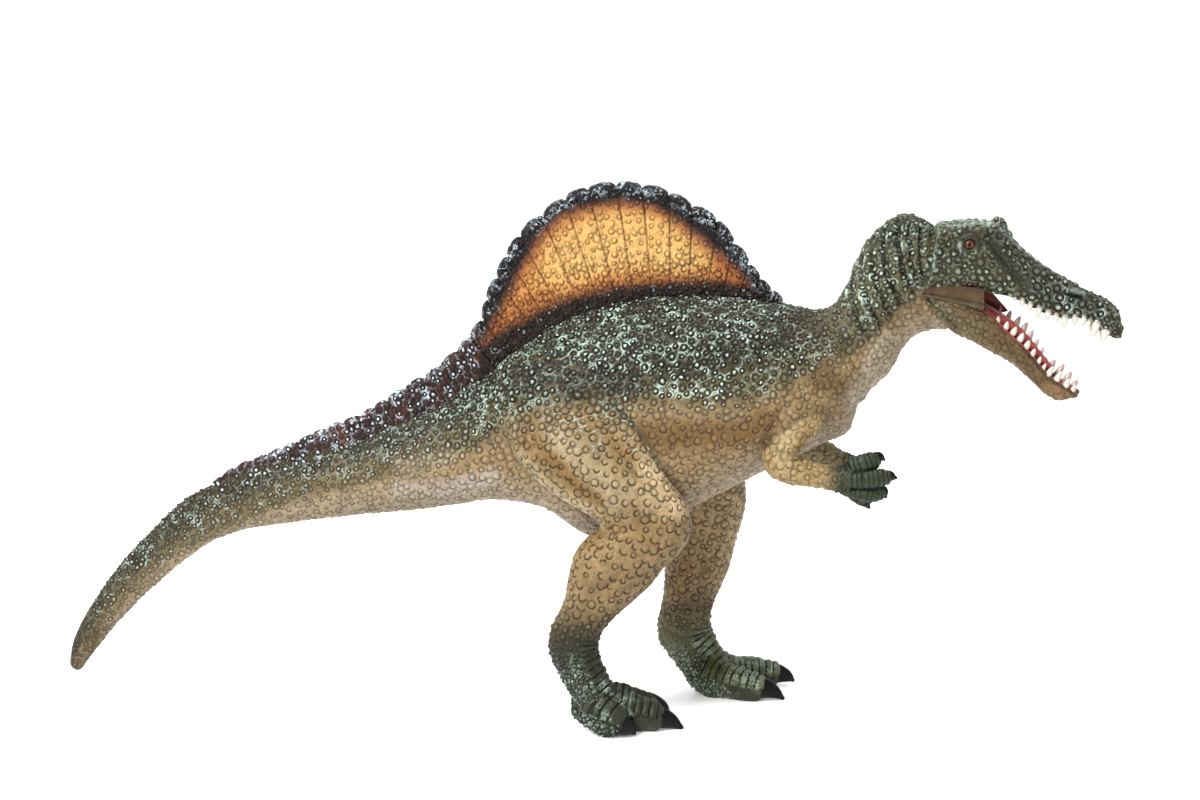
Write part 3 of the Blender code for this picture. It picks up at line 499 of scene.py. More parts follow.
def digit(points, step, m):
    rows = np.array([[*pt(u, v, y), high, wide] for u, v, y, high, wide in points])
    rows = smooth_rows(rows, rows[:, :3], step)
    along, side, up = frames_along(rows)
    around = np.arange(m) * 2 * math.pi / m
    rings = [r[:3] + np.outer(np.cos(around) * r[4], s) + np.outer(np.sin(around) * r[3], u) for r, s, u in zip(rows, side, up)]
    first, last = rows[0, :3] - along[0] * rows[0, 3] * 0.8, rows[-1, :3] + along[-1] * rows[-1, 3] * 0.8

    def shrunk(ring, mid, end, s):
        return mid + (ring - mid) * math.sqrt(1 - s * s) + (end - mid) * s

    shares = (0.35, 0.65, 0.86, 0.97)
    a = [shrunk(rings[0], rows[0, :3], first, s) for s in shares[::-1]]
    b = [shrunk(rings[-1], rows[-1, :3], last, s) for s in shares]
    return skin([*a, *rings, *b], first, last)


def claw(points, step, m):
    """A curved, blunt-tipped cone; its back is a little keeled."""
    rows = np.array([[*pt(u, v, y), r] for u, v, y, r in points])
    rows = smooth_rows(rows, rows[:, :3], step)
    along, side, up = frames_along(rows)
    around = np.arange(m) * 2 * math.pi / m
    keel = 1 + 0.10 * np.maximum(np.sin(around), 0) ** 4
    rings = [r[:3] + r[3] * (np.outer(np.cos(around) * 0.92, s) + np.outer(np.sin(around) * keel, u)) for r, s, u in zip(rows, side, up)]
    tip = [rows[-1, :3] + (rings[-1] - rows[-1, :3]) * math.cos(a) + along[-1] * rows[-1, 3] * math.sin(a) for a in (0.5, 1.0, 1.35)]
    first, last = rows[0, :3] - along[0] * rows[0, 3] * 0.8, rows[-1, :3] + along[-1] * rows[-1, 3]
    return skin([*rings, *tip], first, last)


# ------------------------------------------------------------------ small mathematics
def ease(low, high, x):
    """0 below low, 1 above high, and a soft step between; falls instead where low is above high."""
    t = np.clip((x - low) / (high - low), 0.0, 1.0)
    return t * t * (3 - 2 * t)


def to_line(px, py, line, closed=False):
    """Distance to a polyline on the sheet, and that distance with a sign: above 0 to the right of the way it runs."""
    line = np.array(line, float)
    if closed:
        line = np.vstack([line, line[:1]])
    best = np.full(len(px), 1e9)
    sign = np.ones(len(px))
    for (ax, ay), (bx, by) in zip(line, line[1:]):
        ex, ey = bx - ax, by - ay
        length = ex * ex + ey * ey
        qx, qy = px - ax, py - ay
        t = np.clip((qx * ex + qy * ey) / length, 0.0, 1.0)
        d = np.hypot(qx - t * ex, qy - t * ey)
        cross = ex * qy - ey * qx
        closer = d < best - 1e-6
        best = np.where(closer, d, best)
        sign = np.where(closer, np.where(cross >= 0, 1.0, -1.0), sign)
    return best, best * sign


def near_path(p, path):
    """For points in space: distance to a polyline, the length along it, and the offset from it."""
    path = np.array(path, float)
    best = np.full(len(p), 1e9)
    along = np.zeros(len(p))
    offset = np.zeros_like(p)
    run = 0.0
    for a, b in zip(path, path[1:]):
        e = b - a
        length = np.linalg.norm(e)
        t = np.clip((p - a) @ e / length**2, 0.0, 1.0)
        off = p - a - np.outer(t, e)
        d = np.linalg.norm(off, axis=1)
        closer = d < best
        best = np.where(closer, d, best)
        along = np.where(closer, run + t * length, along)
        offset[closer] = off[closer]
        run += length
    return best, along, offset


def grid_noise(p, size, seed, octaves=2):
    """Smooth value noise between -1 and 1 at points in space, in cells of this size."""
    out, amount, total = np.zeros(len(p)), 1.0, 0.0
    for k in range(octaves):
        q = p / (size / 2**k) + seed * 17.31 + k * 5.7
        cell = np.floor(q).astype(np.int64)
        f = q - cell
        f = f * f * (3 - 2 * f)
        value = np.zeros(len(p))
        for corner in range(8):
            c = cell + [(corner >> i) & 1 for i in range(3)]
            h = (c[:, 0] * 73856093) ^ (c[:, 1] * 19349663) ^ (c[:, 2] * 83492791) ^ (seed * 2654435)
            h = (h ^ (h >> 13)) * 1274126177 & 0x7FFFFFFF
            w = np.prod([f[:, i] if (corner >> i) & 1 else 1 - f[:, i] for i in range(3)], axis=0)
            value += w * ((h % 65536) / 32767.5 - 1)
        out += amount * value
        total += amount
        amount *= 0.5
    return out / total


LIT = 0.50  # the studio's light is stronger than white on white, so paint is that much darker than it looks there


def lin(r, g, b):
    """A colour named by how it looks in the studio's light, in screen values from 0 to 255."""
    c = np.array([r, g, b]) / 255.0
    return np.where(c <= 0.04045, c / 12.92, ((c + 0.055) / 1.055) ** 2.4) * LIT


# ------------------------------------------------------------------ meshes as arrays
def normals_of(v, f):
    """Vertex normals of a mesh of quads or triangles."""
    if f.shape[1] == 4:
        n = np.cross(v[f[:, 2]] - v[f[:, 0]], v[f[:, 3]] - v[f[:, 1]])
    else:
        n = np.cross(v[f[:, 1]] - v[f[:, 0]], v[f[:, 2]] - v[f[:, 0]])
    out = np.stack([np.bincount(f.ravel(), np.repeat(n[:, i], f.shape[1]), len(v)) for i in range(3)], 1)
    return out / np.maximum(np.linalg.norm(out, axis=1), 1e-12)[:, None]


def edge_pairs(f):
    k = f.shape[1]
    return np.concatenate([f[:, [i, (i + 1) % k]] for i in range(k)])


def relaxed(values, pairs, rounds, share=1.0):
    """Each value pulled towards the mean of its neighbours."""
    flat = values.ndim == 1
    values = values[:, None] if flat else values
    n = len(values)
    a, b = np.concatenate([pairs[:, 0], pairs[:, 1]]), np.concatenate([pairs[:, 1], pairs[:, 0]])
    count = np.maximum(np.bincount(a, minlength=n), 1)[:, None]
    share = share[:, None] if isinstance(share, np.ndarray) else share
    for _ in range(rounds):
        mean = np.stack([np.bincount(a, values[b, i], n) for i in range(values.shape[1])], 1) / count
        values = values + (mean - values) * share
    return values[:, 0] if flat else values


def arrays_of(mesh):
    v = np.empty(len(mesh.vertices) * 3)
    mesh.vertices.foreach_get("co", v)
    sizes = np.empty(len(mesh.polygons), int)
    mesh.polygons.foreach_get("loop_total", sizes)
    loops = np.empty(len(mesh.loops), int)
    mesh.loops.foreach_get("vertex_index", loops)
    return v.reshape(-1, 3), sizes, loops


def raw_mesh(name, v, f):
    """A Blender mesh straight from arrays: vertices and faces that all have the same number of corners."""
    mesh = bpy.data.meshes.new(name)
    k = f.shape[1]
    mesh.vertices.add(len(v))
    mesh.vertices.foreach_set("co", np.ascontiguousarray(v, np.float32).ravel())
    mesh.loops.add(f.size)
    mesh.loops.foreach_set("vertex_index", np.ascontiguousarray(f, np.int32).ravel())
    mesh.polygons.add(len(f))
    mesh.polygons.foreach_set("loop_start", np.arange(0, f.size, k, dtype=np.int32))
    mesh.update(calc_edges=True)
    return mesh


def through(mesh, kind, **settings):
    """The mesh after one modifier, as arrays. The object that carried it is removed."""
    obj = bpy.data.objects.new("work", mesh)
    bpy.context.scene.collection.objects.link(obj)
    modifier = obj.modifiers.new("m", kind)
    for key, value in settings.items():
        setattr(modifier, key, value)
    done = obj.evaluated_get(bpy.context.evaluated_depsgraph_get()).to_mesh()
    out = arrays_of(done)
    layers = {}
    for a in done.attributes:
        if a.domain == "POINT" and a.data_type == "FLOAT" and not a.name.startswith("."):
            x = np.empty(len(done.vertices))
            a.data.foreach_get("value", x)
            layers[a.name] = x
    obj.evaluated_get(bpy.context.evaluated_depsgraph_get()).to_mesh_clear()
    bpy.data.objects.remove(obj)
    bpy.data.meshes.remove(mesh)
    return (*out, layers)


def quads_only(v, sizes, loops):
    """Faces as quads: only faces with four corners are kept, and here every face has four corners."""
    if (sizes == 4).all():
        return v, loops.reshape(-1, 4)
    starts = np.concatenate([[0], np.cumsum(sizes)[:-1]])
    quads = loops[starts[sizes == 4][:, None] + np.arange(4)]
    return v, quads


# ------------------------------------------------------------------ the skin's base surface
# Every solid that the skin runs over: name, group, shape, and how softly it melts into the ones before it.
SOLIDS = [("body", 0, loft(BODY, 2.2, 64, ends=(1.2, 0.5)), 0.0)]
LIMBS = [
    ("right_leg", 1, RIGHT_LEG, RIGHT_TOES, (0.5, 0.3), 1.3),
    ("left_leg", 2, LEFT_LEG, LEFT_TOES, (0.5, 0.3), 1.3),
    ("right_arm", 3, RIGHT_ARM, RIGHT_FINGERS, (0.5, 0.4), 0.7),
    ("left_arm", 4, LEFT_ARM, LEFT_FINGERS, (0.5, 0.4), 0.7),
]
for name, group, table, digits, ends, soft in LIMBS:
    SOLIDS.append((name, group, loft(table, 1.6, 40, ends=ends), 2.2))
    for i, (points, nail) in enumerate(digits):
        SOLIDS.append((f"{name}_{i}", group, digit(points, 1.2, 20), soft))

VOXEL = 0.82


def union_of(shapes):
    v, f, base = [], [], 0
    for verts, faces in shapes:
        v.append(verts)
        f += [tuple(i + base for i in face) for face in faces]
        base += len(verts)
    mesh = bpy.data.meshes.new("union")
    mesh.from_pydata(np.vstack(v).tolist(), [], f)
    bm = bmesh.new()
    bm.from_mesh(mesh)
    bmesh.ops.recalc_face_normals(bm, faces=bm.faces)
    bm.to_mesh(mesh)
    bm.free()
    return mesh


class Field:
    """Signed distance to one closed solid, and the way straight out of it."""

    def __init__(self, shape):
        mesh = union_of([shape])
        bm = bmesh.new()
        bm.from_mesh(mesh)
        bmesh.ops.triangulate(bm, faces=bm.faces)
        self.tree = BVHTree.FromBMesh(bm)
        co = np.array([v.co[:] for v in bm.verts])
        self.normal = np.array([v.normal[:] for v in bm.verts])
        self.tris = np.array([[v.index for v in f.verts] for f in bm.faces])
        self.co = co
        self.low, self.high = co.min(0), co.max(0)
        bm.free()
        bpy.data.meshes.remove(mesh)

    def __call__(self, points, reach):
        d = np.full(len(points), 99.0)
        g = np.zeros((len(points), 3))
        near = np.where(((points > self.low - reach) & (points < self.high + reach)).all(1))[0]
        if not len(near):
            return d, g
        find = self.tree.find_nearest
        hit, face = np.empty((len(near), 3)), np.empty(len(near), int)
        for k, p in enumerate(points[near].tolist()):
            loc, _, index, _ = find(p)
            hit[k] = loc
            face[k] = index
        tri = self.tris[face]
        a, b, c = self.co[tri[:, 0]], self.co[tri[:, 1]], self.co[tri[:, 2]]
        # The normal there is blended from the corners', so the field bends smoothly from face to face.
        e0, e1, e2 = b - a, c - a, hit - a
        d00, d01, d11 = (e0 * e0).sum(1), (e0 * e1).sum(1), (e1 * e1).sum(1)
        d20, d21 = (e2 * e0).sum(1), (e2 * e1).sum(1)
        low = np.maximum(d00 * d11 - d01 * d01, 1e-12)
        w1 = np.clip((d11 * d20 - d01 * d21) / low, 0, 1)
        w2 = np.clip((d00 * d21 - d01 * d20) / low, 0, 1)
        n = self.normal[tri[:, 0]] * (1 - w1 - w2)[:, None] + self.normal[tri[:, 1]] * w1[:, None] + self.normal[tri[:, 2]] * w2[:, None]
        n /= np.maximum(np.linalg.norm(n, axis=1), 1e-9)[:, None]
        off = points[near] - hit
        side = (off * n).sum(1)
        d[near] = np.where(side >= 0, 1, -1) * np.linalg.norm(off, axis=1)
        g[near] = n
        return d, g


base_mesh = union_of([s[2] for s in SOLIDS])
base_v, sizes, loops, _ = through(base_mesh, "REMESH", mode="VOXEL", voxel_size=VOXEL, adaptivity=0.0)
base_v, base_f = quads_only(base_v, sizes, loops)
pairs = edge_pairs(base_f)
base_v = relaxed(base_v, pairs, 2, 0.5)

FIELDS = [Field(s[2]) for s in SOLIDS]
HIP_TOP = [(520, 392), (545, 380), (580, 368), (615, 368), (645, 378)]
SHOULDER_TOP = [(792, 372), (810, 362), (835, 366), (850, 380)]
group_of = [s[1] for s in SOLIDS]


def melt(p):
    """One field for all the solids together: distances smoothly joined, more softly at the tops of the limbs."""
    q = near_half(p)
    u, v = sheet_of(q)
    hip, _ = to_line(u, v, HIP_TOP)
    shoulder, _ = to_line(u, v, SHOULDER_TOP)
    soft_hip = 1.3 + 6.5 * ease(62, 14, hip)
    soft_arm = 1.3 + 3.5 * ease(34, 8, shoulder)
    total = grad = None
    by_group = np.full((len(p), 5), 99.0)
    for (name, group, shape, soft), field in zip(SOLIDS, FIELDS):
        d, g = field(p, 7.0 if soft > 2 or not group else 2.5)
        by_group[:, group] = np.minimum(by_group[:, group], d)
        if total is None:
            total, grad = d, g
            continue
        k = np.full(len(p), soft)
        if name in ("right_leg", "left_leg"):
            k = soft_hip
        elif name in ("right_arm", "left_arm"):
            k = soft_arm
        share = np.clip(0.5 + 0.5 * (d - total) / k, 0, 1)
        total = d * (1 - share) + total * share - k * share * (1 - share)
        grad = g * (1 - share)[:, None] + grad * share[:, None]
    return total, grad, by_group


for turn in range(2):
    d, g, by_group = melt(base_v)
    length = np.maximum(np.linalg.norm(g, axis=1), 0.35)
    step = np.clip(d, -1.6, 1.6) / length**2
    base_v = base_v - g * step[:, None]
    if turn == 0:
        base_v = relaxed(base_v, pairs, 1, 0.5)

fine = raw_mesh("fine", base_v, base_f)
for i in range(5):
    layer = fine.attributes.new(f"near_{i}", "FLOAT", "POINT")
    layer.data.foreach_set("value", np.clip(by_group[:, i], -20, 20).astype(np.float32))
skin_v, sizes, loops, layers = through(fine, "SUBSURF", levels=1, render_levels=1)
skin_v, skin_f = quads_only(skin_v, sizes, loops)
near_group = np.stack([layers[f"near_{i}"] for i in range(5)], 1)


# ------------------------------------------------------------------ moulded scales
def scatter(points, facing, spacing, seed, share=1.0):
    """Places for scales: points picked in a fixed random order, none nearer to another than their own spacing."""
    rng = np.random.default_rng(seed)
    order = rng.permutation(len(points))
    order = order[: int(len(order) * share)]
    cell = float(spacing.max()) * 1.22
    keys = np.floor(points / cell).astype(int)
    grid, chosen = {}, []
    pts, gap, nrm = points.tolist(), (spacing * rng.uniform(0.80, 1.22, len(points))).tolist(), facing.tolist()
    for i in order.tolist():
        x, y, z = pts[i]
        kx, ky, kz = keys[i]
        d = gap[i]
        nx, ny, nz = nrm[i]
        free = True
        for a in (kx - 1, kx, kx + 1):
            for b in (ky - 1, ky, ky + 1):
                for c in (kz - 1, kz, kz + 1):
                    for j in grid.get((a, b, c), ()):
                        px, py, pz = pts[j]
                        r = 0.5 * (d + gap[j])
                        if (px - x) ** 2 + (py - y) ** 2 + (pz - z) ** 2 < r * r:
                            mx, my, mz = nrm[j]
                            if nx * mx + ny * my + nz * mz > 0:
                                free = False
                                break
                    if not free:
                        break
                if not free:
                    break
            if not free:
                break
        if free:
            grid.setdefault((kx, ky, kz), []).append(i)
            chosen.append(i)
    return np.array(chosen)


def ring_maps(points, facing, spacing, radius, full, seed, share=1.0, aim=(0.5, 0.0, 0.85)):
    """For every point: distance in mm outside the nearest scale's ring (below 0 inside it), how far it is from being
    as near to a second one, how much of the ring's groove is there, and a number and radius of the scale's own. full is the share of scales with a whole ring; in the others the
    ring is open, mostly towards aim."""
    rng = np.random.default_rng(seed + 1)
    chosen = scatter(points, facing, spacing, seed, share)
    n = len(chosen)
    size = radius[chosen] * rng.uniform(0.68, 1.24, n)
    # Hand-cut rings aren't quite round: distances are taken in a slightly warped space.
    warp = np.stack([grid_noise(points, 1.9, seed + 3 + i, 1) for i in range(3)], 1) * 0.24
    centre = (points + warp)[chosen]
    points = points + warp
    normal = facing[chosen]
    tree = KDTree(n)
    for k, c in enumerate(centre.tolist()):
        tree.insert(c, k)
    tree.balance()
    most = 4
    near = np.zeros((len(points), most), int)
    dist = np.full((len(points), most), 50.0)
    find = tree.find_n
    for i, p in enumerate(points.tolist()):
        for k, (_, index, d) in enumerate(find(p, most)):
            near[i, k] = index
            dist[i, k] = d
    for k in range(most):
        apart = (facing * normal[near[:, k]]).sum(1)
        dist[:, k] = np.where(apart > -0.1, dist[:, k], 50.0)
    outside = dist - size[near]
    rank = np.argsort(outside, axis=1)
    rows = np.arange(len(points))
    best = rank[:, 0]
    delta = outside[rows, best]
    seam = outside[rows, rank[:, 1]] - delta
    owner = near[rows, best]
    # The open side of each ring lies in its own tangent plane.
    way = np.array(aim) + rng.normal(0, 0.55, (n, 3))
    way -= normal * (way * normal).sum(1)[:, None]
    way /= np.maximum(np.linalg.norm(way, axis=1), 1e-6)[:, None]
    open_from = np.where(rng.random(n) < full[chosen], 9.0, rng.uniform(-0.25, 0.72, n))
    off = points - centre[owner]
    off -= facing * (off * facing).sum(1)[:, None]
    off /= np.maximum(np.linalg.norm(off, axis=1), 1e-6)[:, None]
    towards = (off * way[owner]).sum(1)
    # The groove is fullest on the side away from aim, the lower side: the dark crescents there are partly wash settled
    # low and partly painted shade.
    groove = (1 - ease(open_from[owner] - 0.10, open_from[owner] + 0.22, towards)) * (0.62 + 0.38 * ease(0.7, -0.5, towards))
    return delta, seam, groove, rng.random(n)[owner], size[owner]


# ------------------------------------------------------------------ painting by strokes
class Coat:
    """Colour laid on at points that have a place on the sheet."""

    def __init__(self, u, v, ground):
        self.u, self.v = u, v
        self.colour = np.tile(ground, (len(u), 1))

    def lay(self, colour, weight):
        w = np.clip(weight, 0, 1)[:, None]
        self.colour = self.colour * (1 - w) + np.asarray(colour) * w

    def stroke(self, line, reach, colour, strength=1.0, where=1.0):
        """A soft airbrush stroke along a line; reach is where it has faded out."""
        d, _ = to_line(self.u, self.v, line)
        self.lay(colour, ease(reach, reach * 0.15, d) * strength * where)

    def beyond(self, line, soft, colour, strength=1.0, where=1.0, shift=0.0):
        """Colour on the right-hand side of the way a line runs, with a soft edge."""
        _, s = to_line(self.u, self.v, line)
        self.lay(colour, ease(-soft, soft, s - shift) * strength * where)


def blend_value(start, weight, value):
    return start * (1 - weight) + value * weight


# ------------------------------------------------------------------ the skin: regions
normal = normals_of(skin_v, skin_f)
side_near = near_half(skin_v)
mu, mv = sheet_of(side_near)
su, sv = sheet_of(skin_v)
label = near_group.argmin(1)
is_body = ease(1.2, -0.2, near_group[:, 0] - near_group[:, 1:].min(1))
on_leg = [None] + [ease(-0.6, 0.6, near_group[:, 0] - near_group[:, i]) * ease(2.5, 0.5, near_group[:, i] - near_group[:, 1:].min(1)) for i in (1, 2, 3, 4)]
u = np.where((label == 2) | (label == 4), su, mu)
v = np.where((label == 2) | (label == 4), sv, mv)
wobble = grid_noise(skin_v, 9.0, 3)
patch = grid_noise(skin_v, 16.0, 7)
grain = grid_noise(skin_v, 3.2, 11)

# Lines on the sheet that part the painted zones. All run so that the paler, lower zone lies to their right.
GREEN_EDGE = [
    (86, 668), (96, 642), (113, 612), (140, 578), (175, 552), (227, 522), (280, 503), (327, 490), (393, 474), (440, 458),
    (478, 448), (505, 432), (535, 415), (560, 406), (600, 402), (640, 402), (690, 404), (740, 403), (768, 394), (786, 382),
    (806, 368), (826, 356), (850, 345), (868, 331), (885, 313), (905, 294), (925, 281), (950, 272),
]
OLIVE_EDGE = [
    (70, 660), (80, 630), (98, 600), (128, 566), (165, 534), (205, 506), (240, 492), (300, 474), (360, 457), (410, 443),
    (450, 428), (490, 405), (530, 385), (580, 372), (640, 372), (700, 376), (745, 370), (785, 350), (815, 338), (846, 325), (875, 300), (900, 275), (925, 262),
]
SAIL_FOOT = [
    (205, 492), (225, 482), (250, 474), (280, 465), (310, 455), (340, 443), (370, 435), (400, 423), (430, 409), (458, 391),
    (480, 373), (500, 357), (520, 345), (545, 333), (570, 322), (600, 311), (630, 304), (660, 301), (700, 300), (740, 302), (768, 306), (800, 314),
]
BELLY_EDGE = [
    (95, 655), (118, 622), (150, 590), (186, 566), (232, 540), (287, 520), (350, 506), (410, 492), (460, 483), (505, 478), (545, 492), (590, 512), (640, 505),
    (690, 486), (740, 462), (780, 444), (815, 425), (850, 398), (866, 375), (880, 352), (900, 330), (940, 316),
]
THROAT_EDGE = [(800, 395), (825, 378), (850, 362), (870, 345), (890, 325), (912, 305), (940, 288)]

_, green_side = to_line(u, v, GREEN_EDGE)
_, olive_side = to_line(u, v, OLIVE_EDGE)
_, foot_side = to_line(u, v, SAIL_FOOT)
foot_side = np.where(u > 806, 40.0, foot_side)
_, belly_side = to_line(u, v, BELLY_EDGE)
tail_part = ease(470, 400, u)
neck_part = ease(812, 845, u) * is_body
back = ease(16, -14, green_side + 7 * wobble + 6 * patch)
nape = ease(28, 9, to_line(mu, mv, [(800, 326), (820, 328), (840, 322), (848, 332)])[0]) * is_body
LEG_EDGE = [(430, 450), (468, 436), (496, 420), (518, 408), (540, 401), (560, 394), (578, 388), (594, 388), (606, 398), (618, 412), (632, 420), (645, 410), (660, 402), (700, 400)]
_, leg_side = to_line(u, v, LEG_EDGE)
leg_side = np.where(label == 2, to_line(mu, mv, LEG_EDGE)[1], leg_side)
thigh_top = ease(13, -12, leg_side + 6 * wobble + 5 * patch) * np.maximum(on_leg[1], on_leg[2])

# Lengths along the limbs, from hip or shoulder down.
paths = {}
for name, group, table, digits, ends, soft in LIMBS:
    rows = row_table(table, 3.0)
    mid = (rows[:, :3] + rows[:, 3:6]) / 2
    front = (rows[:, :3] - rows[:, 3:6]) / 2
    paths[name] = (mid, front)

split = np.zeros(len(skin_v))  # 1 in the gap between two toes or fingers
foot = np.zeros(len(skin_v))   # 1 on the green feet and hands
scute = np.zeros(len(skin_v))  # 1 where a scale plate runs across
plate = np.zeros(len(skin_v))  # the run of the plates, in mm
for name, group, table, digits, ends, soft in LIMBS:
    mine = label == group
    p = skin_v[mine]
    _, along, off = near_path(p, paths[name][0])
    limb_u, limb_v = sheet_of(p)
    if "leg" in name:
        top, low = ((618, 652) if group == 1 else (606, 640))
        green = ease(top, low, limb_v + 5 * wobble[mine])
        start = 636 if group == 1 else 622
        forward = p[:, 0] - np.interp(-p[:, 2], -paths[name][0][::1, 2], paths[name][0][::1, 0])
        cover = ease(start, start + 8, limb_v) * ease(*((1.5, 3.2) if group == 1 else (0.6, 2.6)), forward + 1.5 * normal[mine, 0])
        run = along.copy()
        width = np.full(len(p), 2.05)
    else:
        green = ease(817, 842, limb_u + 5 * wobble[mine]) if group == 3 else ease(838, 852, limb_u)
        cover = np.zeros(len(p))
        run = along.copy()
        width = np.full(len(p), 1.5)
    closest = np.full(len(p), 99.0)
    gaps = []
    for i, (points, nail) in enumerate(digits):
        rows = np.array([pt(a, b, c) for a, b, c, _, _ in points])
        rows = np.vstack([rows, rows[-1] + (rows[-1] - rows[-2]) * 0.6])
        radius = np.mean([h for *_, h, _ in points])
        d, t, o = near_path(p, rows)
        inside = ease(radius * 1.45, radius * 1.12, d)
        gaps.append(np.where(t > 0.2, d / radius, 9.0) + (2.0 * ease(6.0, 3.2, t) if "leg" in name else 0.0))
        if "leg" in name:
            shown = inside * ease(0.0, 0.42, o[:, 2] / radius) * ease(0.5, 2.5, t)
            mine_now = (shown > 0.25) & (d < closest)
            closest = np.where(mine_now, d, closest)
            cover = np.maximum(cover, shown)
            run = np.where(mine_now, t + 0.37 * i, run)
            width = np.where(mine_now, 1.95, width)
        else:
            shown = inside * ease(-1.1, -0.6, o[:, 2] / radius)
            mine_now = (shown > 0.25) & (d < closest)
            closest = np.where(mine_now, d, closest)
            cover = np.maximum(cover, shown)
            run = np.where(mine_now, t + 0.37 * i, run)
            width = np.where(mine_now, 1.15, width)
    gaps = np.sort(np.array(gaps), axis=0)
    split[mine] = ease(0.34, 0.02, gaps[1] - gaps[0]) * ease(1.75, 1.3, gaps[0]) * green
    foot[mine] = green
    scute[mine] = cover * green
    plate[mine] = run / width

# Where a limb meets the trunk there is a crease, except over the soft tops.
hip, _ = to_line(mu, mv, HIP_TOP)
shoulder, _ = to_line(mu, mv, SHOULDER_TOP)
others = near_group[:, 1:].min(1)
meeting = ease(2.6, 0.5, np.maximum(np.abs(near_group[:, 0]), np.abs(others)))
narrow = ease(1.5, 0.2, np.maximum(np.abs(near_group[:, 0]), np.abs(others)))
crease = narrow * ease(30, 58, hip) * ease(14, 26, shoulder) * np.where(near_group[:, 3:].min(1) < 3.0, 0.45, 1.0)

# Numbers for the scales, region by region.
spacing = np.full(len(skin_v), 2.0)
radius = np.full(len(skin_v), 0.86)
full = np.full(len(skin_v), 0.45)
dome = np.full(len(skin_v), 0.11)
groove_deep = np.full(len(skin_v), 0.2)
net_high = np.full(len(skin_v), 0.03)
tip = np.full(len(skin_v), 0.05)
net = np.full(len(skin_v), 0.03)
ink = np.full(len(skin_v), 0.62)
moat = np.full(len(skin_v), 0.25)


def region(weight, **values):
    for key, value in values.items():
        globals()[key] = blend_value(globals()[key], np.clip(weight, 0, 1), value)


trunk_back = back * is_body * (1 - tail_part)
region(is_body * ease(-6, 20, green_side), full=0.22, ink=0.55, dome=0.12)
region(is_body * ease(-4, 16, belly_side), spacing=1.85, radius=0.78, ink=0.42, dome=0.1, full=0.3)
region(trunk_back, spacing=1.70, radius=0.64, full=0.97, dome=0.34, groove_deep=0.17, net_high=0.13, tip=0.85, net=0.66, ink=0.55, moat=0.9)
region(is_body * tail_part, spacing=1.6, radius=0.66, full=0.3, dome=0.14, groove_deep=0.13, ink=0.55)
region(is_body * tail_part * ease(12, -16, green_side), spacing=1.36, radius=0.54, full=1.0, dome=0.28, groove_deep=0.14, net_high=0.05, tip=0.8, net=0.08, ink=0.35, moat=0.7)
region(is_body * tail_part * ease(6, -14, olive_side), tip=0.85, net=0.35, moat=0.85)
region(is_body * ease(-4, -14, foot_side) * ease(480, 500, u), spacing=1.9, net=0.12, tip=0.25, moat=0.9)
neck_green = neck_part * ease(14, -10, green_side)
region(neck_part * ease(-6, 12, green_side), spacing=1.9, radius=0.85, full=0.35, dome=0.12, ink=0.42, tip=0.03, net=0.03)
region(neck_green, spacing=1.8, radius=0.72, full=0.9, dome=0.24, groove_deep=0.17, net_high=0.06, tip=0.22, net=0.2, ink=0.55, moat=0.6)
region(neck_part * ease(2, -17, green_side + 4 * wobble), tip=0.62, net=0.75)
region(nape, net=0.06, tip=0.16, moat=0.6, ink=0.6)
region(neck_green * ease(15, 4, to_line(mu, mv, [(888, 230), (905, 222), (928, 228)])[0]), net=0.42, tip=0.5, moat=0.8, ink=0.7)
thigh = on_leg[1] * ease(560, 520, v)
region(on_leg[1], spacing=2.2, radius=0.86, full=0.42, dome=0.07, groove_deep=0.2, net_high=0.02, ink=0.85, moat=0.12, tip=0.0, net=0.0)
region(thigh * ease(455, 415, v + 8 * patch), spacing=2.05, radius=0.85, full=0.8, dome=0.2, ink=0.75, moat=0.4, tip=0.3, net=0.55)
region(thigh_top, spacing=1.8, radius=0.74, full=0.95, dome=0.33, groove_deep=0.17, net_high=0.12, tip=0.8, net=0.75, ink=0.5, moat=0.8)
shank = on_leg[1] * ease(525, 550, v)
region(shank, spacing=2.2, radius=0.88, full=0.22, ink=0.85, tip=0.0, net=0.0)
region(on_leg[2], spacing=2.0, radius=0.9, full=0.35, dome=0.14, groove_deep=0.2, ink=0.7, moat=0.3, tip=0.0, net=0.0)
region(thigh_top * (label == 2), spacing=1.8, radius=0.74, full=0.95, dome=0.33, groove_deep=0.17, net_high=0.12, tip=0.8, net=0.75, ink=0.5, moat=0.8)
for i in (1, 2):
    ankle = on_leg[i] * ease(600, 630, v + (0 if i == 1 else 14))
    region(ankle, spacing=1.85, radius=0.8, full=0.6, dome=0.22, moat=0.6, ink=0.5, tip=0.1, net=0.08)
    region(on_leg[i] * foot, spacing=1.25, radius=0.54, full=1.0, dome=0.34, groove_deep=0.18, net_high=0.05, moat=0.9, tip=0.10, net=0.03, ink=0.6)
    region(on_leg[i] * foot * ease(650, 688, v + (0 if i == 1 else 14) + 8 * patch), tip=0.7, net=0.3)
for i in (3, 4):
    region(on_leg[i], spacing=2.05, radius=0.88, full=0.35, dome=0.2, groove_deep=0.18, ink=0.5, moat=0.25, tip=0.02, net=0.0)
    region(on_leg[i] * foot, spacing=1.3, radius=0.56, dome=0.24, groove_deep=0.15, ink=0.4, moat=0.6, tip=0.08)

delta, seam, ring, own, size = ring_maps(skin_v, normal, spacing, radius, full, 20)

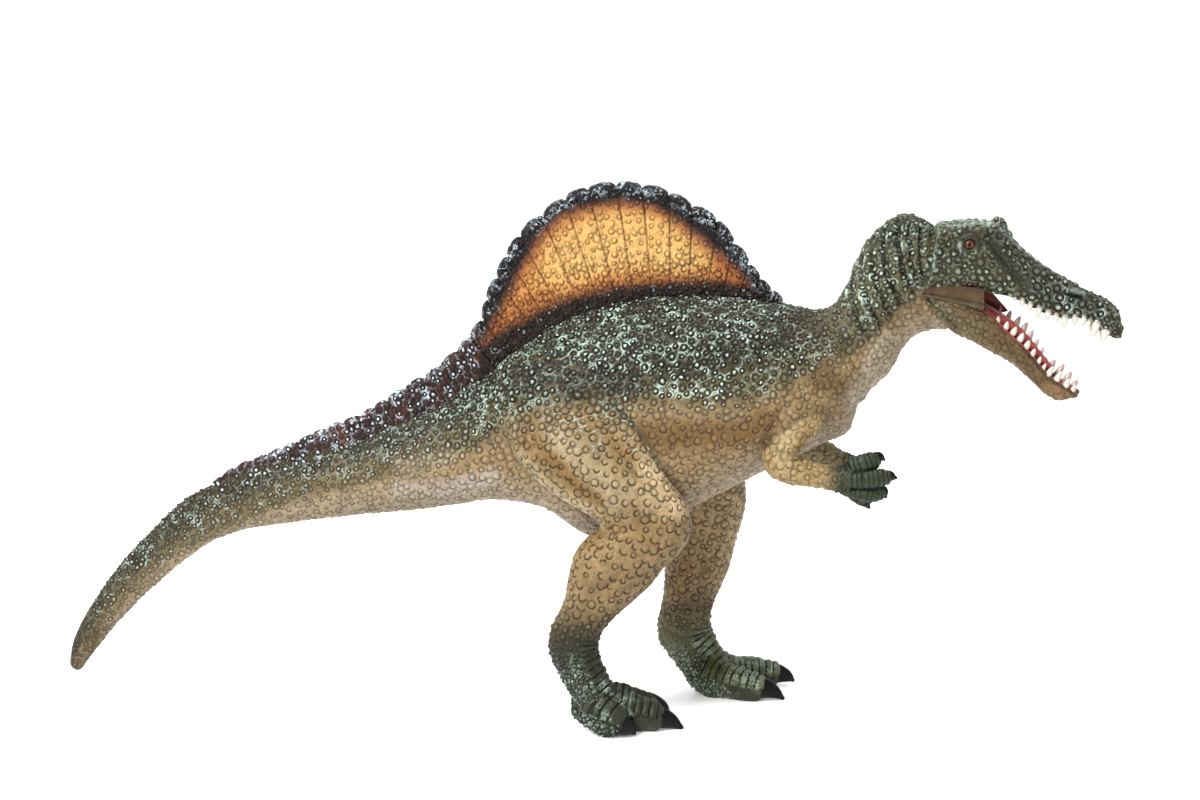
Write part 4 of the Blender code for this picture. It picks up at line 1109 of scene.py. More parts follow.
# ------------------------------------------------------------------ the skin: relief
bare = 1 - ease(0.15, 0.75, scute)
height = np.zeros(len(skin_v))
inside = np.clip(-delta / np.maximum(size, 0.1), 0, 1)          # 0 on the ring, 1 in its middle
height += 1.15 * dome * (0.45 + 1.0 * own) * (1 - (1 - inside) ** 2.2) * bare * (1 - 0.4 * meeting)
height -= 1.35 * groove_deep * np.exp(-((delta / 0.25) ** 2)) * ring * bare * (1 - 0.8 * meeting)
height += net_high * (0.5 + np.exp(-((seam / 0.32) ** 2))) * ease(0.05, 0.35, delta) * bare

FURROWS = [
    ([(883, 224), (882, 252), (889, 282), (902, 306)], 0.85), ([(897, 220), (898, 248), (903, 272), (914, 292)], 0.85),
    ([(910, 228), (911, 262), (919, 288)], 0.7), ([(921, 229), (921, 262), (924, 285)], 0.7), ([(932, 250), (931, 270), (928, 290)], 0.6),
    ([(872, 236), (870, 258), (877, 288), (892, 316)], 0.9), ([(861, 254), (860, 280), (868, 306), (882, 328)], 0.85), ([(850, 276), (851, 300), (860, 324), (870, 338)], 0.7),
    ([(925, 298), (938, 312), (956, 330)], 0.5), ([(912, 306), (925, 322), (936, 333)], 0.35),
]
furrow = np.zeros(len(skin_v))
for line, deep in FURROWS:
    d, _ = to_line(mu, mv, line)
    hollow = np.exp(-((d / 2.3) ** 2)) * is_body
    furrow = np.maximum(furrow, hollow * deep)
height -= 1.30 * furrow * ease(0.0, 3.0, np.abs(skin_v[:, 1]))
height += 0.30 * neck_green * (1 - np.clip(furrow * 2, 0, 1))
height += 0.7 * is_body * ease(18, 4, np.hypot(mu - 934, mv - 226))

VALLEYS = [  # line, reach in sheet units, depth in mm, part
    ([(526, 418), (530, 440), (552, 462), (578, 490), (602, 508)], 17, 0.9, 1), ([(585, 402), (604, 424), (625, 446), (648, 474)], 17, 1.0, 1),
    ([(580, 612), (600, 596), (622, 574)], 9, 0.7, 1), ([(641, 520), (655, 540), (648, 560)], 12, 0.35, 1),
    ([(703, 560), (700, 580), (690, 606)], 8, 0.8, 2), ([(690, 520), (700, 545), (705, 565)], 12, 0.5, 2), ([(708, 640), (700, 660), (712, 682)], 8, 0.4, 2),
    ([(560, 640), (566, 668), (584, 700)], 6, 0.3, 1), ([(590, 655), (604, 690), (614, 704)], 5, 0.5, 1),
    ([(660, 420), (700, 428), (745, 420), (770, 404)], 30, 0.8, 0), ([(795, 330), (806, 360), (824, 384)], 20, 0.9, 0),
    ([(790, 400), (775, 425), (765, 445)], 10, 0.8, 0), ([(846, 350), (862, 362), (868, 386)], 12, 0.5, 0),
    ([(815, 425), (835, 405), (855, 392)], 9, 0.4, 0),
]
for line, reach, deep, part in VALLEYS:
    d, _ = to_line(mu if part == 0 else u, mv if part == 0 else v, line)
    height -= deep * ease(reach, 0, d) * (is_body if part == 0 else on_leg[part])
SWELLS = [
    ([(560, 420), (590, 470), (625, 505)], 20, 0.7, 1), ([(620, 420), (650, 470)], 12, 0.4, 1), ([(590, 560), (610, 575)], 20, 0.3, 1),
    ([(640, 355), (690, 350), (740, 345)], 34, 0.7, 0), ([(640, 400), (690, 408), (730, 406)], 16, 0.4, 0), ([(775, 345), (782, 370), (790, 395)], 16, 0.8, 0),
    ([(835, 350), (850, 372), (860, 392)], 13, 0.6, 0), ([(690, 458), (740, 445), (775, 430)], 16, 0.4, 0),
]
for line, reach, high, part in SWELLS:
    d, _ = to_line(mu if part == 0 else u, mv if part == 0 else v, line)
    height += high * ease(reach, 0, d) * (is_body if part == 0 else on_leg[part])

# Plates across the toes, the front of the feet and the fingers: rounded bars with narrow grooves between.
turn = plate - np.floor(plate)
bar = np.abs(np.sin(math.pi * plate)) ** 0.45
finger = np.isin(label, (3, 4))
height += np.where(finger, 0.42, 0.70) * (bar - 0.35) * ease(0.2, 0.8, scute) * (0.75 + 0.5 * (grain > 0))
height -= 0.75 * split * (0.6 + 0.4 * finger)
height -= 0.55 * crease
height += 0.16 * grain + 0.14 * wobble + 0.09 * grid_noise(skin_v, 1.1, 12, 1) * bare
height += 0.16 * grid_noise(skin_v, 1.5, 5, 1) * is_body * ease(-2, 14, belly_side)      # the belly's fine wrinkles
height += 0.12 * grid_noise(skin_v, 1.2, 6, 1) * foot * (1 - ease(0.2, 0.8, scute))

height *= 0.06 + 0.94 * ease(72, 112, mu)     # the tail runs out smooth
skin_v = skin_v + normal * height[:, None]
skin_v[:, 2] = np.maximum(skin_v[:, 2], SHIFT[2])
skin_normal = normals_of(skin_v, skin_f)

# ------------------------------------------------------------------ the skin: paint
coat = Coat(u, v, lin(168, 140, 98))
body_w = is_body
coat.beyond(GREEN_EDGE, 12, lin(178, 150, 108), 1.0, body_w)
coat.stroke([(645, 436), (700, 436), (740, 432), (765, 424)], 27, lin(134, 100, 56), 0.9, body_w)
coat.stroke([(640, 408), (700, 414), (745, 412)], 12, lin(170, 146, 106), 0.6, body_w)
coat.beyond(BELLY_EDGE, 13, lin(186, 168, 140), 0.85, body_w)
coat.stroke([(790, 345), (808, 362), (826, 380), (850, 390)], 25, lin(124, 99, 60), 0.85, body_w)
coat.stroke([(776, 372), (786, 390)], 14, lin(126, 106, 70), 0.6, body_w)
coat.stroke([(838, 352), (850, 372), (858, 388)], 13, lin(178, 152, 114), 0.6, body_w)
coat.stroke([(884, 338), (876, 352), (870, 374), (856, 398)], 17, lin(204, 188, 160), 0.85, body_w)
coat.stroke([(905, 318), (925, 322), (945, 326)], 14, lin(180, 158, 126), 0.7, body_w)
coat.stroke([(868, 334), (890, 312), (912, 294), (940, 284)], 13, lin(138, 118, 82), 0.8, body_w)
coat.stroke([(800, 400), (820, 412), (838, 412)], 14, lin(168, 136, 88), 0.6, body_w)
# The tail: ochre side, pale underside.
coat.beyond(GREEN_EDGE, 9, lin(184, 164, 130), 1.0, body_w * tail_part)
coat.stroke([(400, 492), (430, 492), (455, 488), (490, 478)], 16, lin(208, 194, 176), 0.85, body_w)
coat.stroke([(240, 528), (300, 508), (380, 497)], 10, lin(178, 160, 132), 0.6, body_w)
coat.beyond(BELLY_EDGE, 8, lin(160, 144, 118), 0.6, body_w * tail_part)
# The green back.
mid_green = lin(108, 100, 68)
coat.lay(mid_green, ease(12, -12, green_side + 6 * wobble) * body_w)
coat.lay(lin(124, 110, 76), ease(10, -10, green_side + 6 * wobble) * body_w * tail_part)
coat.lay(lin(56, 52, 36), ease(16, -14, olive_side + 6 * wobble + 4 * patch) * body_w * 0.94)
coat.stroke([(400, 464), (425, 462), (450, 456)], 12, lin(182, 166, 134), 0.75, body_w)
coat.lay(lin(84, 78, 54), ease(10, -14, olive_side + 6 * wobble) * body_w * tail_part * 0.8)
coat.stroke([(772, 366), (788, 378)], 15, lin(84, 78, 54), 0.45, body_w)
coat.stroke([(72, 655), (80, 630), (96, 600), (125, 570), (160, 540), (190, 518)], 16, lin(82, 78, 56), 0.7, body_w)
coat.lay(lin(48, 38, 33), ease(7, -7, foot_side + 3 * wobble) * body_w * 0.95)
coat.lay(lin(66, 56, 40), ease(26, -4, foot_side + 5 * wobble) * body_w * tail_part * 0.6)
coat.stroke([(770, 312), (800, 320), (830, 322), (848, 296)], 17, lin(58, 52, 36), 0.75, body_w)
coat.lay(lin(84, 74, 50), nape * 0.8)
# The neck.
coat.lay(lin(112, 100, 70), neck_part * ease(22, -4, green_side + 4 * wobble) * 0.8)
coat.lay(lin(102, 98, 70), neck_green)
coat.stroke([(884, 240), (905, 226), (932, 232)], 17, lin(56, 58, 40), 0.8, body_w)
coat.stroke([(846, 318), (858, 335), (872, 330)], 12, lin(112, 104, 72), 0.6, body_w)
# The right thigh and shank.
leg = on_leg[1]
coat.lay(lin(162, 136, 95), leg)
coat.stroke([(515, 455), (545, 488), (592, 514)], 12, lin(206, 184, 140), 0.8, leg)
# painted highlight: a pale stroke along the thigh's ridge, where the light falls on it
coat.stroke([(560, 440), (585, 466), (615, 496)], 22, lin(196, 175, 137), 0.8, leg)
coat.stroke([(600, 540), (640, 520), (672, 512)], 22, lin(166, 136, 92), 0.7, leg)
# painted shade: a brown stroke down the valley between the thigh's muscles
coat.stroke([(524, 416), (528, 440), (550, 460), (574, 484), (596, 500)], 13, lin(146, 112, 62), 0.85, leg)
coat.stroke([(584, 402), (602, 422), (620, 442), (640, 458), (652, 474)], 13, lin(174, 136, 82), 0.75, leg)
coat.stroke([(604, 470), (628, 486), (648, 504)], 16, lin(206, 182, 140), 0.5, leg)
# painted highlight: the palest stroke, on the thigh's lit right side
coat.stroke([(646, 462), (664, 484), (680, 510)], 15, lin(236, 210, 166), 0.9, leg)
coat.stroke([(548, 412), (575, 416), (600, 424)], 15, lin(150, 122, 80), 0.6, leg)
coat.stroke([(520, 402), (560, 398), (600, 400)], 14, lin(130, 116, 80), 0.8, leg)
coat.lay(lin(118, 108, 76), ease(26, -4, leg_side + 6 * wobble) * leg * 0.75)
coat.lay(lin(84, 76, 50), ease(9, -12, leg_side + 6 * wobble) * leg)
coat.lay(lin(62, 57, 39), ease(-2, -22, leg_side + 6 * wobble) * leg * 0.9)
coat.stroke([(506, 420), (508, 448), (530, 474)], 9, lin(150, 138, 104), 0.6, leg)
coat.stroke([(624, 432), (644, 456)], 13, lin(192, 162, 116), 0.6, leg)
# painted highlight: more of the pale on the thigh's lit right side
coat.stroke([(648, 478), (668, 508)], 20, lin(234, 206, 160), 0.6, leg)
hip_dark = ease(24, 6, to_line(u, v, [(572, 386), (600, 380), (628, 384)])[0]) * (label < 2)
coat.lay(lin(48, 42, 28), hip_dark * 0.75)
coat.stroke([(575, 545), (600, 560), (640, 560)], 20, lin(170, 142, 98), 0.75, leg)
coat.stroke([(590, 585), (612, 585), (640, 575)], 16, lin(148, 122, 84), 0.8, leg)
coat.stroke([(572, 625), (592, 605), (622, 576)], 8, lin(160, 132, 88), 0.6, leg)
coat.stroke([(565, 560), (562, 590), (560, 612)], 12, lin(190, 168, 126), 0.6, leg)
coat.stroke([(590, 545), (630, 535), (660, 545)], 10, lin(176, 140, 90), 0.4, leg)
# The left leg stands in the body's lee; its paint is lighter than the right leg's, painted light that makes up for that
# shade.
far_leg = on_leg[2]
coat.lay(lin(178, 152, 110), far_leg)
coat.stroke([(736, 500), (738, 530), (728, 570), (716, 600)], 15, lin(196, 172, 130), 0.85, far_leg)
coat.stroke([(690, 520), (684, 560), (680, 590)], 17, lin(164, 132, 88), 0.75, far_leg)
coat.stroke([(668, 520), (662, 560), (660, 600)], 9, lin(162, 148, 118), 0.5, far_leg)
coat.lay(lin(118, 108, 76), ease(26, -4, leg_side + 6 * wobble) * far_leg * 0.75)
coat.lay(lin(84, 76, 50), ease(9, -12, leg_side + 6 * wobble) * far_leg)
coat.lay(lin(62, 57, 39), ease(-2, -22, leg_side + 6 * wobble) * far_leg * 0.9)
# Arms.
for i in (3, 4):
    arm = on_leg[i]
    coat.lay(lin(190, 162, 112), arm)
    coat.stroke([(792, 430), (780, 452), (788, 470)], 12, lin(206, 182, 136), 0.7, arm)
    coat.stroke([(806, 432), (796, 452)], 8, lin(158, 124, 76), 0.5, arm)
coat.lay(lin(158, 146, 112), on_leg[4] * 0.75)
# Feet and hands.
for i in (1, 2):
    drop = 0 if i == 1 else -12
    coat.lay(lin(106, 90, 60), ease(594 + drop, 626 + drop, v + 8 * wobble) * on_leg[i] * 0.8)
    # the left foot's green is lighter than the right's: painted light for the shade it stands in
    coat.lay(lin(56, 55, 40) if i == 1 else lin(74, 74, 52), ease(612 + drop, 648 + drop, v + 6 * wobble) * on_leg[i])
    coat.lay(lin(62, 66, 48), ease(650 + drop, 690 + drop, v + 6 * wobble) * on_leg[i] * 0.7)
coat.lay(lin(60, 65, 44), ease(0.3, 0.8, scute) * foot * 0.7 * (label < 3) * (0.6 + 0.4 * ease(-0.3, 0.4, grain)))
for i in (3, 4):
    coat.lay(lin(62, 70, 50), foot * on_leg[i] * (label > 2))
# painted light: the left foot's paint is made two to three and a half times as bright, making up for the shade it
# stands in
coat.colour *= (1 + foot * (label == 2) * (1.8 + 0.8 * grid_noise(skin_v, 4.0, 17)))[:, None]
coat.stroke([(572, 664), (584, 704)], 11, lin(88, 95, 74), 0.6, foot * (label == 1))
coat.stroke([(74, 668), (79, 656)], 9, lin(142, 118, 86), 0.8, body_w)
# painted shade: darker in the crease where a limb meets the trunk
coat.lay(lin(60, 50, 38), crease * 0.65)
# painted shadow: the gaps between toes and between fingers are laid near-black, as the shade that falls in them
coat.lay(lin(22, 24, 18), split * 0.85)
coat.lay(lin(50, 47, 33), np.clip(furrow * 1.15, 0, 0.8) * neck_green)
coat.lay(lin(96, 78, 56), np.clip(furrow * 0.9, 0, 0.6) * (1 - neck_green) * is_body)
coat.colour *= (1 + 0.07 * patch + 0.06 * grain)[:, None]
skin_paint = np.clip(coat.colour, 0, 1)

# Pale mint dry-brush on what stands proud: tips of scales, the ridges between them, edges of plates.
MINT_PATCHES = [  # line, reach, strength of the net
    ([(560, 350), (640, 345), (740, 345)], 26, 0.5), ([(600, 390), (650, 388), (735, 388)], 14, 0.6), ([(775, 352), (790, 372), (806, 398)], 10, 0.35),
    ([(478, 400), (520, 385), (570, 372)], 18, 0.6), ([(560, 412), (585, 430), (598, 448)], 12, 0.8), ([(620, 400), (634, 418), (646, 440), (656, 460)], 11, 1.0), ([(604, 392), (616, 412), (630, 434), (640, 452)], 8, 0.7),
    ([(484, 424), (505, 412), (530, 410)], 14, 0.7),
    ([(446, 415), (480, 410), (510, 412)], 14, 0.8), ([(856, 268), (858, 296), (866, 326)], 9, 0.6), ([(786, 322), (800, 330), (808, 340)], 9, 0.7),
]
mint_net = net * ease(-0.40, 0.45, patch + 0.6 * grain)
for line, reach, strength in MINT_PATCHES:
    d, _ = to_line(u, v, line)
    mine = (label == 1) if line[0] in ((620, 400), (604, 392)) else (label < 2)
    mint_net = np.maximum(mint_net, ease(reach, reach * 0.3, d) * strength * mine * ease(-0.65, -0.05, grain + 0.3 * patch))
mint_net = mint_net * (1 - 0.7 * hip_dark) * (1 - 0.5 * ease(18, 6, to_line(mu, mv, [(776, 314), (800, 322), (832, 320)])[0]) * is_body)
mint_tip = tip * (0.15 + 1.0 * ease(0.25, 0.8, own)) * (1 - 0.4 * hip_dark) * (0.15 + 0.85 * ease(74, 120, mu))
plate_edge = ease(0.2, 0.8, scute) * ease(0.55, 0.9, bar) * ease(0.0, 0.6, grid_noise(skin_v, 6.0, 16) + 0.6 * grain + 0.4 * (label == 2)) * ease(-0.5, 0.2, normal[:, 2] - 0.25 * normal[:, 0]) * ease(0.0, 2.0, skin_v[:, 2] - 2.5)
neck_ridge = 0.85 * ease(0.30, 0.05, furrow) * ease(0.001, 0.02, furrow) * (1 - nape) * neck_green * ease(-0.15, 0.4, grid_noise(skin_v * [1.6, 1.6, 0.5], 2.2, 15)) * ease(0.2, 0.0, inside)
few = 1 - 0.7 * foot * (label < 3)
# bright lifts the mint dry-brush towards a paler tint: on the feet this is painted light that makes up for the body's
# shade over them; on the back and neck it is paint
skin_attrs = {
    "delta": delta, "ring": ring * ink * bare * few, "moat": moat * bare * few * (0.7 + 0.5 * own), "tip": mint_tip * bare,
    "net": mint_net * bare, "seam": seam, "edge": np.clip(plate_edge * np.where(finger, 0.18, 0.9) + neck_ridge, 0, 1), "grooved": np.zeros(len(skin_v)), "run": plate, "scute": ease(0.2, 0.8, scute) * np.where(finger, 0.75, 0.85) * (1 - split),
    "pebble": foot * (label < 3) * np.where(label == 2, 0.45, 0.55) * ease(645, 675, v + np.where(label == 2, 12, 0) + 5 * wobble) * (1 - ease(0.15, 0.6, scute)) * (1 - split), "dome": inside, "bright": np.clip(0.6 * foot * (label < 3) + 0.55 * trunk_back + 0.3 * neck_green, 0, 1), "green": np.clip(np.maximum(back * is_body, foot) + thigh_top, 0, 1),
}


# ------------------------------------------------------------------ materials
class Nodes:
    """A short way to write a material's nodes."""

    def __init__(self, name):
        self.material = bpy.data.materials.new(name)
        self.material.use_nodes = True
        self.tree = self.material.node_tree
        self.shader = self.tree.nodes["Principled BSDF"]

    def node(self, kind, **settings):
        n = self.tree.nodes.new(kind)
        for key, value in settings.items():
            if hasattr(n, key):
                setattr(n, key, value)
            else:
                n.inputs[key].default_value = value
        return n

    def plug(self, value, socket):
        if isinstance(value, bpy.types.NodeSocket):
            self.tree.links.new(value, socket)
        elif isinstance(value, (tuple, list, np.ndarray)):
            socket.default_value = (*[float(x) for x in value], 1.0) if len(value) == 3 and len(socket.default_value) == 4 else tuple(value)
        else:
            socket.default_value = float(value)

    def attr(self, name, colour=False):
        n = self.node("ShaderNodeAttribute", attribute_name=name)
        return n.outputs["Color" if colour else "Fac"]

    def maths(self, operation, a, b=0.0, c=None, clamp=False):
        n = self.node("ShaderNodeMath", operation=operation, use_clamp=clamp)
        self.plug(a, n.inputs[0])
        self.plug(b, n.inputs[1])
        if c is not None:
            self.plug(c, n.inputs[2])
        return n.outputs[0]

    def ramp(self, x, low, high, to_low=0.0, to_high=1.0):
        n = self.node("ShaderNodeMapRange", interpolation_type="SMOOTHSTEP")
        for socket, value in zip(n.inputs, (x, low, high, to_low, to_high)):
            self.plug(value, socket)
        return n.outputs[0]

    def mix(self, share, a, b, kind="MIX"):
        n = self.node("ShaderNodeMix", data_type="RGBA", blend_type=kind, clamp_factor=True)
        self.plug(share, n.inputs[0])
        self.plug(a, n.inputs[6])
        self.plug(b, n.inputs[7])
        return n.outputs[2]

    def noise(self, scale, detail=2.0, roughness=0.5):
        if not hasattr(self, "place"):
            self.place = self.node("ShaderNodeTexCoord").outputs["Object"]
        n = self.node("ShaderNodeTexNoise", Scale=scale, Detail=detail, Roughness=roughness)
        self.tree.links.new(self.place, n.inputs["Vector"])
        return n.outputs["Fac"]

    def cells(self, scale, feature="DISTANCE_TO_EDGE"):
        n = self.node("ShaderNodeTexVoronoi", feature=feature, Scale=scale, Randomness=0.9)
        self.tree.links.new(self.place, n.inputs["Vector"])
        return n.outputs["Distance"]

    def bump(self, height, strength, distance):
        n = self.node("ShaderNodeBump", Strength=strength, Distance=distance)
        self.plug(height, n.inputs["Height"])
        self.tree.links.new(n.outputs["Normal"], self.shader.inputs["Normal"])

    def finish(self, colour, roughness, specular=0.4, coat=0.0, coat_rough=0.2):
        self.plug(colour, self.shader.inputs["Base Color"])
        self.plug(roughness, self.shader.inputs["Roughness"])
        self.shader.inputs["Specular IOR Level"].default_value = specular
        self.shader.inputs["Coat Weight"].default_value = coat
        self.shader.inputs["Coat Roughness"].default_value = coat_rough
        return self.material


def scale_paint(name, mint=lin(212, 236, 220), wash=lin(44, 32, 26), dark=lin(24, 22, 15), shine=0.17, tip_from=0.34, rim_from=0.48, patchy=0.90):
    """Painted moulded skin: the painted colour, a dark wash settled in the rings, furrows and grooves, with the rings'
    lower crescents partly painted shade, mint dry-brushed on what stands proud.
    """
    k = Nodes(name)
    base = k.attr("paint", colour=True)
    delta, ring, moat, seam = k.attr("delta"), k.attr("ring"), k.attr("moat"), k.attr("seam")
    tip, net, edge, grooved = k.attr("tip"), k.attr("net"), k.attr("edge"), k.attr("grooved")
    coarse, fine, vein = k.noise(420, 3), k.noise(1500, 3, 0.6), k.noise(640, 2, 0.5)
    away = k.maths("ABSOLUTE", delta)
    # The paint itself: a little uneven, darker where the spray missed the hollows.
    colour = k.mix(k.ramp(coarse, 0.38, 0.72, 0.0, 0.5), base, k.mix(1.0, base, (0.56, 0.53, 0.47), "MULTIPLY"))
    colour = k.mix(k.ramp(fine, 0.50, 0.75, 0.0, 0.55), colour, k.mix(1.0, colour, (1.42, 1.40, 1.36), "MULTIPLY"))
    # Fine moulded wrinkles between the scales, with the wash left in them.
    wrinkle = k.maths("MULTIPLY", k.ramp(k.maths("ABSOLUTE", k.maths("SUBTRACT", vein, 0.5)), 0.004, 0.030, 1.0, 0.0), k.ramp(delta, -0.1, 0.12))
    wrinkle = k.maths("MULTIPLY", wrinkle, k.ramp(fine, 0.35, 0.6, 0.15, 0.85))
    shade = k.mix(1.0, base, (0.25, 0.21, 0.17), "MULTIPLY")
    colour = k.mix(k.maths("MULTIPLY", wrinkle, 0.62), colour, shade)
    colour = k.mix(k.maths("MULTIPLY", moat, k.ramp(k.maths("ADD", away, k.ramp(coarse, 0.3, 0.7, -0.10, 0.10)), 0.08, 0.36, 0.92, 0.0)), colour, shade)
    line = k.ramp(k.maths("ADD", away, k.ramp(fine, 0.3, 0.7, -0.07, 0.07)), 0.09, 0.31, 1.0, 0.0)
    colour = k.mix(k.maths("MULTIPLY", line, ring), colour, k.mix(0.5, shade, wash))
    colour = k.mix(k.maths("MULTIPLY", grooved, 0.8), colour, dark)
    on_tip = k.maths("MULTIPLY", tip, k.ramp(k.maths("ADD", k.attr("dome"), k.ramp(fine, 0.25, 0.75, -0.25, 0.25)), tip_from, tip_from + 0.32))
    on_rim = k.maths("MULTIPLY", k.maths("MULTIPLY", k.ramp(delta, 0.16, 0.28), k.ramp(delta, 0.60, 0.38)), k.maths("MULTIPLY", k.maths("MULTIPLY", tip, 0.9), k.ramp(coarse, rim_from, rim_from + 0.12)))
    thin = k.ramp(k.maths("ADD", seam, k.ramp(fine, 0.3, 0.7, -0.24, 0.24)), 0.09, 0.38, 1.0, 0.0)
    on_net = k.maths("MULTIPLY", net, k.maths("MULTIPLY", k.maths("MULTIPLY", k.ramp(delta, 0.04, 0.18), thin), k.ramp(k.maths("ADD", coarse, k.maths("MULTIPLY", fine, 0.5)), 0.62, 0.76)))
    # Plates: dark narrow grooves across, the brushed paint caught on their edges.
    scute = k.attr("scute")
    step = k.maths("FRACT", k.attr("run"))
    gap = k.maths("MINIMUM", step, k.maths("SUBTRACT", 1.0, step))
    step = k.maths("ADD", gap, k.maths("ADD", k.ramp(fine, 0.3, 0.7, -0.03, 0.03), k.ramp(coarse, 0.35, 0.65, -0.05, 0.09)))
    cleft = k.maths("MULTIPLY", scute, k.ramp(step, 0.03, 0.16, 1.0, 0.0))
    worm = k.ramp(k.maths("ABSOLUTE", k.maths("SUBTRACT", vein, 0.52)), 0.008, 0.034, 1.0, 0.0)
    on_edge = k.maths("MULTIPLY", edge, k.maths("MAXIMUM", worm, k.ramp(k.maths("ADD", coarse, k.maths("MULTIPLY", fine, 0.8)), patchy, patchy + 0.09)))
    on_edge = k.maths("MULTIPLY", on_edge, k.maths("SUBTRACT", 1.0, k.maths("MULTIPLY", scute, k.ramp(step, 0.20, 0.40, 0.0, 0.75))))
    # Fine pebbles on the feet.
    pebble, off_edge = k.attr("pebble"), k.maths("ADD", k.cells(760), k.ramp(fine, 0.3, 0.7, -0.03, 0.03))
    crack = k.maths("MULTIPLY", pebble, k.ramp(off_edge, 0.02, 0.12, 0.72, 0.0))
    on_pebble = k.maths("MULTIPLY", pebble, k.maths("MULTIPLY", k.ramp(off_edge, 0.06, 0.22), k.ramp(k.maths("ADD", k.noise(230, 2), k.maths("MULTIPLY", fine, 0.7)), 0.80, 1.0, 0.0, 0.75)))
    brushed = k.maths("MAXIMUM", k.maths("MAXIMUM", on_tip, on_rim), k.maths("MAXIMUM", k.maths("MAXIMUM", on_net, on_pebble), on_edge))
    cleft = k.maths("MAXIMUM", cleft, crack)
    brushed = k.maths("MULTIPLY", brushed, k.maths("SUBTRACT", 1.0, cleft))
    # Where bright is set on the feet, the paler mint is painted light against the shade they stand in.
    mint = k.mix(k.attr("bright"), mint, [min(x * 1.7, 0.9) for x in mint])
    colour = k.mix(k.maths("MULTIPLY", cleft, 0.9), colour, dark)
    colour = k.mix(k.maths("MULTIPLY", brushed, 0.9), colour, mint)
    bulge = k.ramp(delta, -0.75, -0.02, 1.0, 0.0)
    sunk = k.maths("MULTIPLY", line, k.maths("MAXIMUM", ring, moat))
    height = k.maths("ADD", k.maths("MULTIPLY", bulge, k.maths("ADD", k.maths("MULTIPLY", moat, 0.5), 0.07)), k.maths("MULTIPLY", sunk, -0.55))
    height = k.maths("ADD", height, k.maths("ADD", k.maths("MULTIPLY", fine, 0.28), k.maths("MULTIPLY", wrinkle, -0.30)))
    height = k.maths("ADD", height, k.maths("MULTIPLY", cleft, -1.2))
    height = k.maths("ADD", height, k.maths("MULTIPLY", pebble, k.ramp(off_edge, 0.0, 0.30, 0.0, 0.8)))
    k.bump(k.maths("ADD", height, k.maths("MULTIPLY", brushed, 0.15)), 0.9, 0.00040)
    rough = k.maths("ADD", k.ramp(coarse, 0.3, 0.7, 0.36, 0.50), k.maths("MULTIPLY", brushed, 0.10))
    return k.finish(colour, rough, shine)


# ------------------------------------------------------------------ pieces
SLOTS = {
    "body": "skin", "sail": "sail_skin", "head": "head_skin", "lower_jaw": "jaw_skin",
    "right_arm": "limb_skin", "left_arm": "limb_skin", "right_leg": "limb_skin", "left_leg": "limb_skin",
}


def piece(name, v, f, node, material, slot=None, attrs=None, paint=None, normals=None):
    """One visible piece, from arrays in mm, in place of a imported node."""
    mesh = raw_mesh(name, (v - SHIFT) * MM, np.asarray(f))
    mesh.shade_smooth()
    for key, values in (attrs or {}).items():
        layer = mesh.attributes.new(key, "FLOAT", "POINT")
        layer.data.foreach_set("value", np.ascontiguousarray(values, np.float32))
    if paint is not None:
        layer = mesh.attributes.new("paint", "FLOAT_COLOR", "POINT")
        layer.data.foreach_set("color", np.ascontiguousarray(np.c_[paint, np.ones(len(paint))], np.float32).ravel())
    if normals is not None:
        mesh.normals_split_custom_set_from_vertices(normals.tolist())
    mesh.materials.append(material)
    obj = bpy.data.objects.new(name, mesh)
    bpy.context.scene.collection.objects.link(obj)
    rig.ride(obj, "root")
    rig.replaces(obj, node)
    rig.slot(obj, slot or SLOTS[node])
    return obj


def capped(v, f, extra):
    """A part cut out of a closed mesh, closed again by a fan over each open edge; extra arrays grow with it."""
    half = {}
    k = f.shape[1]
    for face in f.tolist():
        for i in range(k):
            a, b = face[i], face[(i + 1) % k]
            if (b, a) in half:
                del half[(b, a)]
            else:
                half[(a, b)] = True
    after = {}
    for a, b in half:
        after.setdefault(b, []).append(a)
    faces = []
    while after:
        start = next(iter(after))
        loop, at = [start], after[start].pop()
        if not after[start]:
            del after[start]
        while at != start:
            loop.append(at)
            step = after[at].pop()
            if not after[at]:
                del after[at]
            at = step
        centre = v[loop].mean(0)
        v = np.vstack([v, centre])
        c = len(v) - 1
        extra = [np.concatenate([x, x[loop].mean(0)[None] if x.ndim > 1 else [x[loop].mean()]]) for x in extra]
        for i in range(len(loop)):
            a, b = loop[i], loop[(i + 1) % len(loop)]
            faces.append((a, b, c))
    return v, faces, extra


def cut_out(name, keep_faces, node, material):
    """One piece of the whole skin: its faces, with the skin's own normals so that no seam shows."""
    f = skin_f[keep_faces]
    used = np.unique(f)
    new = np.full(len(skin_v), -1)
    new[used] = np.arange(len(used))
    f = new[f]
    keys = list(skin_attrs)
    extra = [skin_attrs[key][used] for key in keys] + [skin_paint[used], skin_normal[used]]
    v, lids, extra = capped(skin_v[used], f, extra)
    tris = np.concatenate([f[:, [0, 1, 2]], f[:, [0, 2, 3]], np.array(lids, int).reshape(-1, 3)])
    attrs = dict(zip(keys, extra[: len(keys)]))
    obj = piece(name, v, tris, node, material, attrs=attrs, paint=extra[-2], normals=extra[-1])
    return obj


